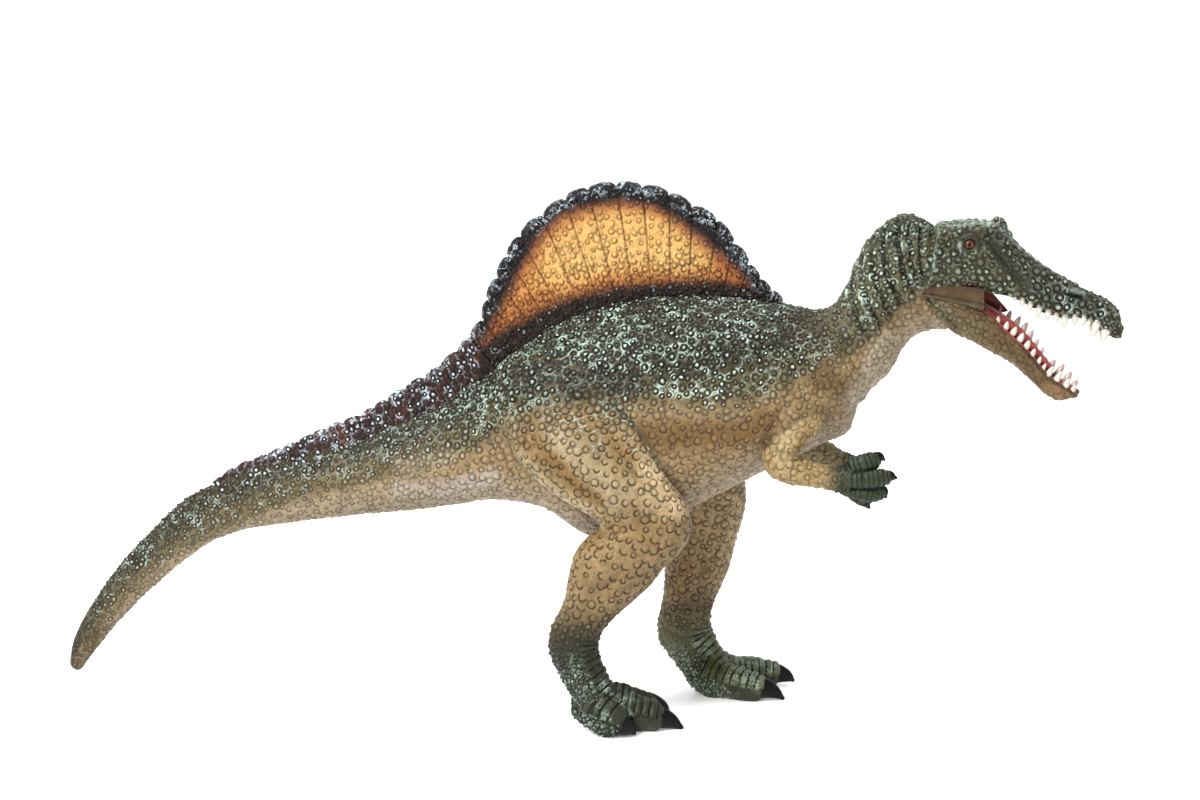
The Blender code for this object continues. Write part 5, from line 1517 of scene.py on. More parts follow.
skin_material = scale_paint("painted_skin")
middle = skin_v[skin_f].mean(1)
face_label = label[skin_f[:, 0]]
TAIL_CUT, NECK_CUT = -28.0, 56.0
parts = [
    ("tail_skin", (face_label == 0) & (middle[:, 0] < TAIL_CUT), "body"),
    ("trunk_skin", (face_label == 0) & (middle[:, 0] >= TAIL_CUT) & (middle[:, 0] < NECK_CUT), "body"),
    ("neck_skin", (face_label == 0) & (middle[:, 0] >= NECK_CUT), "body"),
    ("right_leg_skin", face_label == 1, "right_leg"),
    ("left_leg_skin", face_label == 2, "left_leg"),
    ("right_arm_skin", face_label == 3, "right_arm"),
    ("left_arm_skin", face_label == 4, "left_arm"),
]
for name, keep, node in parts:
    cut_out(name, keep, node, skin_material)


# ------------------------------------------------------------------ the sail and the tail's crest
RIM_LINE = [(475, 352), (489, 325), (500, 305), (511, 282), (527, 254), (538, 235), (559, 214), (598, 202), (625, 200), (650, 203), (671, 213), (691, 227), (707, 241), (723, 254), (738, 267), (748, 282), (758, 300)]
WEB_FOOT = [(470, 352), (497, 332), (520, 322), (540, 311), (560, 302), (580, 295.5), (600, 290), (620, 286), (645, 283), (700, 281), (720, 281), (737, 283), (760, 287)]


def plate_of(first, last, per_lobe, levels, sink=3.0):
    """The upright plate between two notches of its edge: a round lobe at the end of each spine, a rib along each
    notch's line. Gives vertices, quads and, per vertex, the height, what is left to the edge, and the place in the lobe."""
    cols = []
    for i in range(first, last):
        (ru, rv, fu, fv), (su, sv, gu, gv) = SAIL[i], SAIL[i + 1]
        for k in range(per_lobe + (i == last - 1)):
            s = k / per_lobe
            a, b = pt(ru + (su - ru) * s, rv + (sv - rv) * s), pt(fu + (gu - fu) * s, fv + (gv - fv) * s)
            c, d = pt(ru, rv), pt(su, sv)
            out = np.cross(d - c, [0, 1, 0])
            out /= np.linalg.norm(out)
            out *= 1 if out[2] > 0 else -1
            lobe = math.sin(math.pi * s) ** 0.6 if 0 < s < 1 else 0.0
            cols.append((a + out * 0.17 * np.linalg.norm(d - c) * lobe, b, s, lobe, np.linalg.norm(d - c), np.linalg.norm(pt(gu, gv) - pt(fu, fv))))
    if first:  # the crest starts a little inside the sail
        back_to = pt(*SAIL[first - 1][:2]) - cols[0][0]
        shift = back_to / np.linalg.norm(back_to) * 0.8
        cols[0] = (cols[0][0] + shift * [1, 1, 0.2], cols[0][1] + shift * [1, 1, 0.2], *cols[0][2:])
    rim, foot_line = np.array([c[0] for c in cols]), np.array([c[1] for c in cols])
    s, lobe, wide_top, wide_foot = (np.array([c[i] for c in cols]) for i in (2, 3, 4, 5))
    tall = np.maximum(np.linalg.norm(rim - foot_line, axis=1), 0.05)
    n = len(cols)
    # Levels lie evenly up the plate and close together round its edge.
    even = np.linspace(0, 1, levels)
    rows, info = [], []
    for q in range(2 * levels - 1):
        e = even[q] if q < levels else even[2 * levels - 2 - q]
        sign = -1.0 if q < levels - 1 else (0.0 if q == levels - 1 else 1.0)
        share = 1 - (1 - e) ** 1.25
        up = share * (tall + sink) - sink
        left = tall - up
        band = ease(7.5, 2.0, left) * ease(4.0, 9.0, tall)
        wide = 1.35 + 0.55 * band * (0.15 + 0.85 * lobe) + 0.35 * ease(6.0, 0.0, up)
        wide = np.minimum(wide, 0.45 + 0.30 * tall)
        edge = np.minimum(wide, tall * 0.6)
        round_off = np.sqrt(np.clip(1 - (1 - np.minimum(left / edge, 1.0)) ** 2, 0, 1))
        line = foot_line + (rim - foot_line) * (up / tall)[:, None]
        line[up < 0] = foot_line[up < 0] + np.outer(up[up < 0], [0, 0, 1.0])
        rows.append(line + np.outer(wide * round_off * sign, [0, 1, 0]))
        across = np.minimum(s, 1 - s) * (wide_foot + (wide_top - wide_foot) * np.clip(up / tall, 0, 1))
        info.append(np.stack([up, left, s, across, band, tall], 1))
    v = np.array(rows).reshape(-1, 3)
    info = np.array(info).reshape(-1, 6)
    faces = []
    m = len(rows)
    for q in range(m - 1):
        a = q * n + np.arange(n - 1)
        faces.append(np.stack([a, a + 1, a + n + 1, a + n], 1))
    f = np.concatenate(faces)
    return v, f, info


def sail_piece(name, first, last, per_lobe, levels, seed):
    v, f, info = plate_of(first, last, per_lobe, levels)
    up, left, s, across, band, tall = info.T
    n = normals_of(v, f)
    if (n * np.sign(v[:, 1:2]) * [0, 1, 0]).sum() < 0:
        f = f[:, ::-1]
        n = -n
    u, w = sheet_of(near_half(v))
    _, rim_side = to_line(u, w, RIM_LINE)
    _, foot_side = to_line(u, w, WEB_FOOT)
    crest = ease(482, 470, u)
    web = ease(-4, 6, rim_side) * ease(4, -4, foot_side) * (1 - crest)
    dark = 1 - web
    rough = grid_noise(v, 1.35, seed, 2)
    coarse = grid_noise(v, 5.0, seed + 1)
    gap = 1.44 + 0.2 * coarse
    size0 = np.full(len(v), 0.64)
    full0 = np.where(web > 0.5, 0.35, 0.9)
    delta, seam, ring, own, size = ring_maps(v, n, gap + 0.3 * web * ease(-10, -40, foot_side), size0, full0, seed, aim=(0.2, 0.0, 0.6))
    inside = np.clip(-delta / np.maximum(size, 0.1), 0, 1)
    on_rib = np.exp(-(((across - 0.35) / 0.45) ** 2)) * ease(1.0, 3.0, left) * ease(3.5, 8.0, tall)
    rib_line = np.exp(-((across / 0.20) ** 2)) * ease(0.8, 2.5, left) * ease(3.5, 8.0, tall)
    bump = web * (1 - on_rib)
    high = (0.34 * (0.5 + own) * (1 - (1 - inside) ** 2.2) - 0.10 * np.exp(-((delta / 0.2) ** 2)) * ring) * (0.35 + 0.65 * bump)
    high += 0.20 * on_rib * web - 0.30 * rib_line - 0.35 * np.exp(-((across / 0.35) ** 2)) * band * ease(5.0, 0.5, left)
    high += 0.20 * np.sin(math.pi * s) * web
    high += (0.26 * rough + 0.10 * grid_noise(v, 0.8, seed + 2, 1)) * dark * ease(-2.5, -0.5, up)
    v = v + n * (high * ease(-1.5, 0.3, up))[:, None]

    coat = Coat(u, w, lin(248, 176, 94))
    coat.stroke([(560, 262), (600, 236), (650, 232), (690, 250)], 46, lin(255, 204, 122), 0.9)
    coat.stroke([(590, 262), (640, 258), (680, 262)], 22, lin(255, 210, 132), 0.6)
    coat.stroke([(500, 335), (520, 315), (545, 300)], 22, lin(196, 122, 66), 0.75)
    coat.stroke([(518, 288), (534, 262)], 16, lin(236, 158, 86), 0.4)
    coat.stroke([(722, 262), (738, 278), (752, 290)], 16, lin(190, 104, 58), 0.8)
    coat.lay(lin(196, 122, 66), ease(-22, 2, foot_side) * 0.75)
    coat.lay(lin(120, 70, 44), ease(-11, 4, foot_side) * 0.9)
    coat.lay(lin(184, 112, 62), ease(20, 5, rim_side) * 0.7)
    coat.lay(lin(112, 66, 46), ease(10, 0, rim_side) * 0.9)
    coat.lay(lin(104, 48, 24), rib_line * web * (0.72 + 0.28 * ease(45, 5, rim_side)) * (0.8 + 0.2 * ease(-0.3, 0.3, rough)))
    coat.lay(lin(34, 27, 28), ease(3, -5, rim_side + 2 * coarse) * (1 - crest))
    coat.lay(lin(48, 35, 29), ease(-1, 7, foot_side + 2 * coarse) * (1 - crest))
    coat.lay(lin(70, 44, 41), crest * 0.96)
    coat.lay(lin(122, 58, 42), crest * ease(0.1, 0.6, coarse) * 0.5)
    coat.lay(lin(40, 32, 32), crest * ease(0.0, 0.6, -coarse) * 0.6)
    # The crest is thin where it starts; below it the back goes on.
    low_part = crest * ease(0.0, 0.7, left - np.interp(u, [212, 240, 280, 320, 360], [0.5, 1.3, 2.6, 3.8, 9.0]) + 0.4 * rough)
    coat.lay(lin(86, 79, 55), low_part)
    coat.colour *= (1 + 0.05 * coarse + 0.05 * rough)[:, None]
    knob = dark * ease(3.7 + 1.2 * coarse - 2.2 * crest, 0.6 - 0.4 * crest, left - (1.2 - 0.8 * crest) * np.sin(math.pi * s))
    attrs = {
        "dome": inside, "delta": delta, "seam": seam, "ring": ring * web * 0.85 * (0.65 + 0.35 * ease(-45, -5, foot_side)), "moat": (0.30 * web + 0.85 * dark) * (0.5 + 0.8 * own),
        "tip": np.where(own > 0.78 - 0.28 * crest, 0.30 + 0.55 * crest, 0.0) * dark, "net": 0.22 * dark * crest, "bright": 0.45 * dark + 0.35 * crest, "edge": np.clip(knob * ease(-0.25, 0.25, rough) * (0.7 + 0.3 * ease(-0.3, 0.3, coarse)), 0, 1) * (1 - low_part),
        "grooved": rib_line * (1 - web) * 0.8,
    }
    # Closed along the foot and at both ends.
    extra = [attrs[key] for key in attrs] + [np.clip(coat.colour, 0, 1)]
    v, lids, extra = capped(v, f, extra)
    tris = np.concatenate([f[:, [0, 1, 2]], f[:, [0, 2, 3]], np.array(lids, int).reshape(-1, 3)])
    return piece(name, v, tris, "sail", sail_material, attrs=dict(zip(attrs, extra[:-1])), paint=extra[-1])


sail_material = scale_paint("painted_sail", mint=lin(216, 232, 242), wash=lin(96, 56, 36), dark=lin(22, 18, 18), shine=0.17, patchy=0.99)
SPLIT = 18
sail_piece("sail_web", 0, SPLIT, 18, 86, 41)
sail_piece("tail_crest", SPLIT, len(SAIL) - 1, 14, 26, 47)


# ------------------------------------------------------------------ the head
def tube_grid(table, step, m, ends):
    """A closed loft as arrays, with each vertex's place round its section (a across, b up) and its row."""
    rows = row_table(table, step, True)
    rings, mid, up = loft_rings(rows, m)
    around = np.arange(m) * 2 * math.pi / m
    cap = 7

    def end(i, j, bulge):
        out = mid[i] - mid[j]
        out /= np.linalg.norm(out)
        reach = bulge * rows[i, 6]
        angles = [math.pi / 2 * k / (cap + 1) for k in range(1, cap + 1)]
        return [mid[i] + (rings[i] - mid[i]) * math.cos(t) + out * reach * math.sin(t) for t in angles], mid[i] + out * reach

    head, first = end(0, 1, ends[0])
    tail, last = end(-1, -2, ends[1])
    v, faces = skin([*head[::-1], *rings, *tail], first, last)
    total = len(rings) + 2 * cap
    a = np.concatenate([np.tile(np.cos(around), total), [0, 0]])
    b = np.concatenate([np.tile(np.sin(around), total), [0, 0]])
    quads = np.array([f for f in faces if len(f) == 4])
    tris = np.array([f for f in faces if len(f) == 3])
    return v, quads, tris, a, b, (rings, mid, up, rows, cap)


def finish_grid(name, v, quads, tris, node, material, attrs, paint, slot=None):
    faces = np.concatenate([quads[:, [0, 1, 2]], quads[:, [0, 2, 3]], tris])
    return piece(name, v, faces, node, material, slot=slot, attrs=attrs, paint=paint)


def grid_normals(v, quads, tris):
    return normals_of(v, np.concatenate([quads[:, [0, 1, 2]], quads[:, [0, 2, 3]], tris]))


def outwards(v, quads, tris):
    """Faces turned so that the solid's volume is positive."""
    f = np.concatenate([quads[:, [0, 1, 2]], quads[:, [0, 2, 3]], tris])
    volume = np.einsum("ij,ij->i", v[f[:, 0]], np.cross(v[f[:, 1]], v[f[:, 2]])).sum()
    return (quads, tris) if volume > 0 else (quads[:, ::-1], tris[:, ::-1])


v, quads, tris, a, b, _ = tube_grid(HEAD, 0.30, 240, (0.1, 0.7))
quads, tris = outwards(v, quads, tris)
n = grid_normals(v, quads, tris)
plane = side_of(HEAD_TURN)
off = (v - np.array([*HEAD_PIVOT, 0.0])) @ plane
u, w = sheet_of(near_half(v, HEAD_TURN))
outer = ease(0.35, 0.75, np.abs(a)) * ease(-0.93, -0.72, b)
flank = ease(0.25, 0.6, np.abs(n @ plane))


def line_at(line, reach, where=1.0):
    d, _ = to_line(u, w, line)
    return ease(reach, 0.0, d) * where


eye_far = np.hypot(u - 970.5, w - 244)
high = np.zeros(len(v))
high -= 1.15 * ease(16, 5, eye_far) * flank
high += 0.62 * np.exp(-(((eye_far - 7.6) / 2.2) ** 2)) * flank
high += 0.35 * np.exp(-(((np.hypot(u - 968.5, w - 246.5) - 10.5) / 1.8) ** 2)) * flank
high -= 0.30 * np.exp(-(((np.hypot((u - 969.5) * 0.92, w - 244.5) - 12.4) / 1.0) ** 2)) * flank
high += 0.55 * line_at([(937, 232), (955, 230), (980, 229), (999, 233)], 8)
high -= 0.30 * line_at([(940, 224), (960, 221), (985, 221)], 7)
high += 0.25 * line_at([(999, 231), (1012, 246), (1030, 262), (1052, 276), (1074, 287)], 8)
high -= 0.95 * line_at([(988, 237), (999, 252), (1012, 268), (1024, 284), (1028, 293)], 8, flank)
high += 0.55 * line_at([(985, 252), (996, 268), (1008, 284), (1014, 294)], 8, flank)
high -= 0.40 * line_at([(944, 240), (946, 262), (950, 280)], 9, flank)
high += 0.75 * line_at([(940, 229), (936, 250), (934, 270), (926, 289)], 4)
high += 0.35 * line_at([(925, 289), (945, 286), (965, 287), (985, 290), (1000, 292), (1015, 297), (1030, 303), (1045, 311), (1055, 316), (1063, 318)], 4, ease(-0.95, -0.6, b))
high += 0.45 * line_at([(1090, 319), (1100, 325), (1110, 333)], 5)
nostril = line_at([(1069, 293.5), (1075, 295.5), (1082, 298)], 3.4, flank)
high -= 0.95 * nostril
high += 0.45 * line_at([(1067, 289.5), (1076, 291), (1085, 294)], 4, flank)
high -= 0.35 * line_at([(1090, 300), (1086, 312)], 6, flank)
high += 0.35 * line_at([(1104, 306), (1110, 318)], 9, flank)
# The small crest over the eyes: two knobs on the middle line.
on_middle = np.exp(-((off / 1.9) ** 4)) * ease(0.3, 0.8, b)
high += on_middle * (1.7 * np.exp(-(((u - 997.5) / 6.2) ** 4)) + 0.5 * np.exp(-(((u - 1007.0) / 4.0) ** 2)))
wobble_h = grid_noise(v, 6.0, 61)
rough = grid_noise(v, 1.3, 62)
patch_h = grid_noise(v, 9.0, 63)
high += 0.16 * rough + 0.2 * wobble_h

calm = ease(16, 11, eye_far) * flank
palate = ease(-0.86, -0.94, b) * ease(978, 988, u)
spacing_h = np.full(len(v), 1.95) + 0.3 * patch_h
radius_h = np.full(len(v), 0.88)
spacing_h = blend_value(spacing_h, ease(1085, 1105, u), 1.65)
radius_h = blend_value(radius_h, ease(1085, 1105, u), 0.62)
delta, seam, ring, own, size = ring_maps(v, n, spacing_h, radius_h, np.full(len(v), 0.9), 64)
inside = np.clip(-delta / size, 0, 1)
cleared = ease(8.5, 4.0, to_line(u, w, [(990, 243), (1002, 259), (1014, 272), (1027, 285)])[0]) * flank * ease(-0.6, 0.3, patch_h + 0.5)
bare = (1 - calm) * (1 - palate) * (1 - nostril) * (1 - 0.85 * cleared)
high += (0.34 * (0.6 + 0.7 * own) * (1 - (1 - inside) ** 2.2) - 0.20 * np.exp(-((delta / 0.22) ** 2)) * ring + 0.10 * np.exp(-((seam / 0.3) ** 2)) * ease(0.05, 0.3, delta)) * bare
v = v + n * high[:, None]

coat = Coat(u, w, lin(84, 81, 55))
coat.stroke([(940, 275), (965, 272), (990, 276), (1005, 288)], 20, lin(104, 106, 80), 0.75)
coat.stroke([(941, 230), (937, 250), (935, 270), (927, 288)], 3.5, lin(112, 124, 98), 0.55)
coat.stroke([(986.7, 236), (1001, 257), (1017, 273), (1028, 280)], 8, lin(46, 46, 32), 0.75)
coat.stroke([(1000, 235), (1030, 262), (1060, 284), (1100, 300)], 12, lin(66, 68, 52), 0.7)
coat.stroke([(1030, 285), (1060, 300), (1100, 312)], 14, lin(58, 60, 47), 0.8)
coat.stroke([(945, 245), (955, 255)], 12, lin(66, 68, 46), 0.6)
coat.stroke([(990, 240), (1004, 258), (1020, 280)], 9, lin(50, 50, 36), 0.8)
coat.lay(lin(62, 62, 44), calm * 0.85)
for reach, dark_here in ((8.8, 0.7), (12.4, 0.6)):
    coat.lay(lin(30, 30, 21), np.exp(-(((np.hypot((u - 969.5) * 0.92, w - 244.5) - reach) / 0.75) ** 2)) * flank * dark_here)
coat.lay(lin(28, 27, 22), ease(7.0, 5.0, eye_far) * flank * 0.9)
coat.lay(lin(24, 24, 20), nostril * 0.95)
coat.stroke([(1005, 294), (1030, 305), (1050, 315), (1065, 319), (1085, 319), (1100, 328)], 3.2, lin(38, 34, 28), 0.8)
coat.stroke([(925, 289.5), (945, 288), (965, 289), (985, 292)], 3.0, lin(96, 76, 50), 0.85)
coat.lay(lin(158, 74, 66), palate)
coat.lay(lin(120, 40, 42), palate * ease(1010, 985, u) * 0.7)
coat.colour *= (1 + 0.08 * patch_h + 0.06 * rough)[:, None]
eyelid = np.exp(-(((np.hypot(u - 968.5, w - 246.5) - 9.0) / 1.6) ** 2)) * flank * ease(-0.3, 0.5, (246 - w) / 9 * -1 + (968 - u) / 14)
top_band = np.maximum(line_at([(940, 229), (955, 225), (985, 224), (1000, 224)], 7), 0.8 * line_at([(1002, 232), (1020, 248), (1045, 264), (1075, 281)], 6))
rear_rim = line_at([(940, 230), (936, 250), (934, 270), (926, 289)], 3.0)
attrs = {
    "dome": inside, "delta": delta, "seam": seam, "ring": ring * 0.75 * bare, "moat": 0.75 * bare * (0.6 + 0.5 * own), "tip": (0.16 + 0.72 * ease(0.3, 0.85, own)) * bare * (0.75 + 0.35 * patch_h),
    "net": np.clip(0.16 + 0.5 * patch_h + 0.6 * top_band - 0.1 * ease(1030, 1060, u), 0, 1) * bare, "bright": np.full(len(v), 0.2),
    "edge": np.clip(0.9 * eyelid + 0.55 * rear_rim * ease(-0.3, 0.3, rough) + 0.8 * top_band * ease(-0.5, 0.2, rough) + 0.9 * on_middle * ease(984, 990, u) * ease(1010, 1004, u) + 0.4 * line_at([(1067, 289.5), (1085, 294)], 3, flank), 0, 1) * (1 - palate),
    "grooved": nostril * 0.9,
}
head_material = scale_paint("painted_head", mint=lin(212, 234, 220), wash=lin(32, 30, 22), dark=lin(20, 18, 15), shine=0.2, tip_from=0.42, rim_from=0.50)
head_v, head_n = v, grid_normals(v, quads, tris)
head_u, head_w, head_off = u, w, off
finish_grid("head_skin", v, quads, tris, "head", head_material, attrs, np.clip(coat.colour, 0, 1))

# ------------------------------------------------------------------ the lower jaw
v, quads, tris, a, b, (rings, mid, up, rows, cap) = tube_grid(JAW, 0.30, 208, (0.1, 0.6))
quads, tris = outwards(v, quads, tris)
m = 208
row = np.clip(np.repeat(np.arange(len(rings) + 2 * cap), m) - cap, 0, len(rings) - 1)
row = np.concatenate([row, [0, len(rings) - 1]])
tu, tw = sheet_of((mid + up)[row])


r = (np.abs(a) ** rows[row, 8] + np.abs(b) ** rows[row, 8]) ** (-1 / rows[row, 8])
across = np.abs(a * r)
raised = b * r
trough = (1 - np.clip(across / 0.70, 0, 1) ** 3.0) * ease(0.15, 0.55, raised) * ease(970, 986, tu) * ease(1072, 1062, tu)
deep = np.minimum(3.4, 0.75 * 2 * np.linalg.norm(up[row], axis=1))
v = v - (up[row] / np.linalg.norm(up[row], axis=1)[:, None]) * (trough * deep)[:, None]
n = grid_normals(v, quads, tris)
u, w = sheet_of(near_half(v, HEAD_TURN))
flank = ease(0.25, 0.6, np.abs(n @ plane))
high = 0.14 * grid_noise(v, 6.0, 71)
rough = grid_noise(v, 1.3, 72)
patch_j = grid_noise(v, 8.0, 73)
gum = ease(0.66, 0.80, raised) * ease(974, 984, tu) * ease(1079, 1074, u)
cheek = ease(3.5, -1.5, to_line(u, w, [(918, 291), (935, 294), (958, 301), (986, 306)])[1]) * ease(992, 986, u) * (1 - gum)
lip_line = [(984, 305), (993, 317), (1001, 327), (1010, 335), (1018, 342), (1027, 354), (1035, 363), (1042, 372), (1052, 380), (1060, 385), (1068, 390), (1075, 396)]
high += 0.30 * line_at(lip_line, 4.5, flank)
high -= 0.55 * line_at([(924, 294), (940, 310), (958, 330)], 5, flank)
high -= 0.45 * line_at([(930, 293), (948, 299), (968, 304), (984, 307)], 3.5, flank)
high -= 0.35 * line_at([(1036, 384), (1046, 378), (1052, 384)], 5, flank)
high += 0.35 * line_at([(1050, 392), (1062, 396)], 8, flank)
high += 0.16 * rough * (1 - gum)
delta, seam, ring, own, size = ring_maps(v, n, np.full(len(v), 1.85) + 0.25 * patch_j, np.full(len(v), 0.78), blend_value(np.full(len(v), 0.35), ease(975, 945, u), 0.85), 74)
inside = np.clip(-delta / size, 0, 1)
bare = (1 - gum) * (1 - cheek)
high += (0.20 * (0.5 + own) * (1 - (1 - inside) ** 2.2) - 0.18 * np.exp(-((delta / 0.22) ** 2)) * ring) * bare * (1 - 0.5 * ease(1000, 1040, u))
high *= 1 - 0.8 * ease(1062, 1074, u)
v = v + n * high[:, None]

coat = Coat(u, w, lin(122, 98, 62))
coat.stroke([(930, 300), (950, 315), (975, 330)], 20, lin(134, 122, 88), 0.8)
coat.stroke([(1000, 345), (1020, 362), (1040, 380)], 14, lin(112, 88, 56), 0.6)
coat.stroke([(955, 330), (980, 346), (1000, 354), (1020, 370)], 7, lin(150, 128, 92), 0.6)
coat.stroke([(1048, 390), (1062, 394), (1070, 394)], 13, lin(156, 124, 84), 0.8)
coat.stroke([(926, 296), (942, 312), (958, 330)], 6, lin(84, 72, 50), 0.5)
coat.lay(lin(128, 104, 74), cheek * 0.95)
coat.stroke([(940, 292), (960, 296), (980, 300)], 6, lin(148, 122, 90), 0.5, cheek)
coat.stroke(lip_line, 3.4, lin(84, 62, 42), 0.75)
red = lin(220, 92, 84)
coat.lay(red, gum)
coat.lay(lin(156, 40, 48), gum * ease(1000, 984, u) * 0.8)
coat.lay(lin(150, 52, 50), gum * ease(0.1, 0.6, trough) * 0.6)
coat.lay(lin(196, 108, 94), gum * ease(0.2, 0.7, rough) * 0.35)
coat.colour *= (1 + 0.07 * patch_j + 0.05 * rough)[:, None]
attrs = {
    "dome": inside, "delta": delta, "seam": seam, "ring": ring * (0.5 - 0.18 * ease(990, 1040, u)) * bare, "moat": 0.16 * bare, "tip": 0.35 * ease(960, 930, u) * bare, "net": 0.35 * ease(965, 930, u) * bare * ease(-0.2, 0.4, patch_j),
    "edge": np.zeros(len(v)), "grooved": np.zeros(len(v)),
}
jaw_material = scale_paint("painted_jaw", mint=lin(176, 196, 168), wash=lin(52, 36, 26), dark=lin(34, 24, 18), shine=0.18)
jaw_v = v
finish_grid("jaw_skin", v, quads, tris, "lower_jaw", jaw_material, attrs, np.clip(coat.colour, 0, 1))


# ------------------------------------------------------------------ mouth, teeth, eyes and claws
def closed(shape):
    """Vertices and triangles of a closed shape, turned outwards."""
    v, faces = shape
    tris = []
    for f in faces:
        tris += [(f[0], f[i], f[i + 1]) for i in range(1, len(f) - 1)]
    tris = np.array(tris)
    volume = np.einsum("ij,ij->i", v[tris[:, 0]], np.cross(v[tris[:, 1]], v[tris[:, 2]])).sum()
    return np.array(v), tris if volume > 0 else tris[:, ::-1]


def many(shapes):
    v, f, base, own = [], [], 0, []
    for k, shape in enumerate(shapes):
        verts, tris = closed(shape)
        v.append(verts)
        f.append(tris + base)
        own.append(np.full(len(verts), k))
        base += len(verts)
    return np.vstack(v), np.concatenate(f), np.concatenate(own)


def peg(root, tip, radius, sweep=0.0):
    """A moulded tooth: a blunt, slightly swept peg that starts in the gum."""
    root, tip = np.array(root), np.array(tip)
    length = np.linalg.norm(tip - root)
    axis = (tip - root) / length
    side = np.cross(axis, [0, 1, 0])
    side /= np.linalg.norm(side)
    other = np.cross(axis, side)
    around = np.arange(14) * 2 * math.pi / 14
    ring = np.outer(np.cos(around), side) + np.outer(np.sin(around), other)
    rings = []
    for t, r in ((-0.45 / length, 0.8), (0.0, 1.02), (0.18, 1.06), (0.4, 0.98), (0.62, 0.82), (0.8, 0.6), (0.92, 0.38), (0.985, 0.16)):
        rings.append(root + axis * t * length + side * sweep * max(t, 0) ** 2 + ring * radius * r)
    return skin(rings, root - axis * 0.6, tip + side * sweep)


def enamel(name, stain, tone=lin(238, 235, 220)):
    k = Nodes(name)
    at, fine = k.noise(900, 2), k.noise(2600, 2)
    inner, root, turned = k.attr("inner"), k.attr("root"), k.attr("turned")
    colour = k.mix(k.ramp(at, 0.45, 0.75, 0.0, 0.35), tone, lin(232, 224, 196))
    # painted shade: darker where a tooth's surface turns away from the side, outlining each tooth
    colour = k.mix(k.maths("MULTIPLY", turned, k.ramp(at, 0.3, 0.7, 0.55, 0.8)), colour, lin(150, 138, 118))
    colour = k.mix(k.maths("MULTIPLY", inner, 0.85), colour, stain)
    # painted shade: darker at each tooth's root, where it meets the gum
    colour = k.mix(k.maths("MULTIPLY", root, k.ramp(fine, 0.3, 0.7, 0.6, 1.0)), colour, lin(120, 84, 66))
    k.bump(fine, 0.15, 0.0001)
    return k.finish(colour, k.ramp(at, 0.3, 0.7, 0.22, 0.34), 0.5, 0.25, 0.15)


tooth_material = enamel("tooth_paint", lin(222, 184, 176))
for name, table, node, lift in (("teeth_upper", UPPER_TEETH, "head", 0.0), ("teeth_lower", LOWER_TEETH, "lower_jaw", 0.0)):
    shapes, facts = [], []
    for ru, rv, qu, qv, radius, off_mid in table:
        for side in (-1, 1):
            shift = off_mid * side * side_of(HEAD_TURN)
            root, tip = head_pt(ru, rv), head_pt(qu, qv)
            # Placed on the middle plane's drawing of the near row, then set out to its own side.
            near_root, near_tip = head_pt(ru, rv, -off_mid), head_pt(qu, qv, -off_mid)
            across = (1 + side) * off_mid * side_of(HEAD_TURN)
            longer = (1.75 if ru < 1040 else 1.3) if side > 0 and node == "lower_jaw" else 1.0
            shapes.append(peg(near_root + across, near_root + (near_tip - near_root) * (longer * (0.76 if node == "lower_jaw" else 1.0)) + across, radius * (1.02 if side < 0 else 1.15), 0.15))
            facts.append((near_root + across, near_tip + across, side))
    v, f, own = many(shapes)
    root = np.array([x[0] for x in facts])[own]
    tip = np.array([x[1] for x in facts])[own]
    side = np.array([x[2] for x in facts])[own]
    n = normals_of(v, f)
    length = np.linalg.norm(tip - root, axis=1)
    t = ((v - root) * (tip - root)).sum(1) / length**2
    inner = ease(-0.1, 0.6, -(n @ plane) * side)
    # turned and root carry where the painted shade goes on each tooth: its turned-away edges and its root
    piece(name, v, f, node, tooth_material, slot="tooth_paint", attrs={"inner": inner, "turned": ease(0.72, 0.30, np.abs(n @ plane)) * ease(1.1, 0.8, t), "root": ease(0.10, 0.0, t) * 0.7})

# The tongue and the skin at the corners of the mouth.
TONGUE = [
    (982, 301, 980, 312, 0.0, 3.3, 0.1, 2.2, 9), (998, 311, 993, 323, 0.0, 2.9, 0.1, 2.2, 9), (1013, 321, 1006, 334, 0.0, 2.4, 0.1, 2.2, 9),
    (1027, 334, 1019, 347, 0.0, 2.0, 0.1, 2.2, 9), (1039, 349, 1031, 360, 0.0, 1.7, 0.1, 2.2, 9), (1050, 362, 1044, 370, 0.0, 1.2, 0.1, 2.2, 9),
]
k = Nodes("mouth_paint")
at, fine = k.noise(600, 3), k.noise(2200, 2)
deep = k.attr("deep")
colour = k.mix(k.ramp(at, 0.35, 0.7), lin(214, 96, 90), lin(184, 68, 70))
colour = k.mix(deep, colour, lin(112, 36, 42))
k.bump(k.maths("ADD", at, k.maths("MULTIPLY", fine, 0.4)), 0.35, 0.0002)
mouth_material = k.finish(colour, k.ramp(at, 0.3, 0.7, 0.34, 0.46), 0.25, 0.08, 0.25)
v, f, _ = many([loft(TONGUE, 0.6, 40, on_head=True, ends=(0.5, 0.8))])
n = normals_of(v, f)
off = (v - np.array([*HEAD_PIVOT, 0.0])) @ plane
v = v + n * (0.10 * grid_noise(v, 1.4, 81) - 0.35 * np.exp(-((off / 0.5) ** 2)) * ease(0.3, 0.8, n[:, 2]))[:, None]
tu, _ = sheet_of(v)
piece("tongue", v, f, "lower_jaw", mouth_material, slot="mouth_paint", attrs={"deep": ease(1000, 984, tu)})

CORNER = [  # the upper and the lower edge of the skin at the corner of the mouth, drawn on the head's near side
    ((924, 286), (925, 297)), ((945, 285), (945, 301)), ((965, 286), (963, 306)), ((978, 288), (976, 309)), ((984, 289.5), (984, 310)),
]
THROAT = [((968, 287), (970, 312)), ((977, 288.5), (984, 316)), ((981, 289.5), (991, 318)), ((984, 291), (1000, 319)), ((987, 293), (1007.5, 317))]


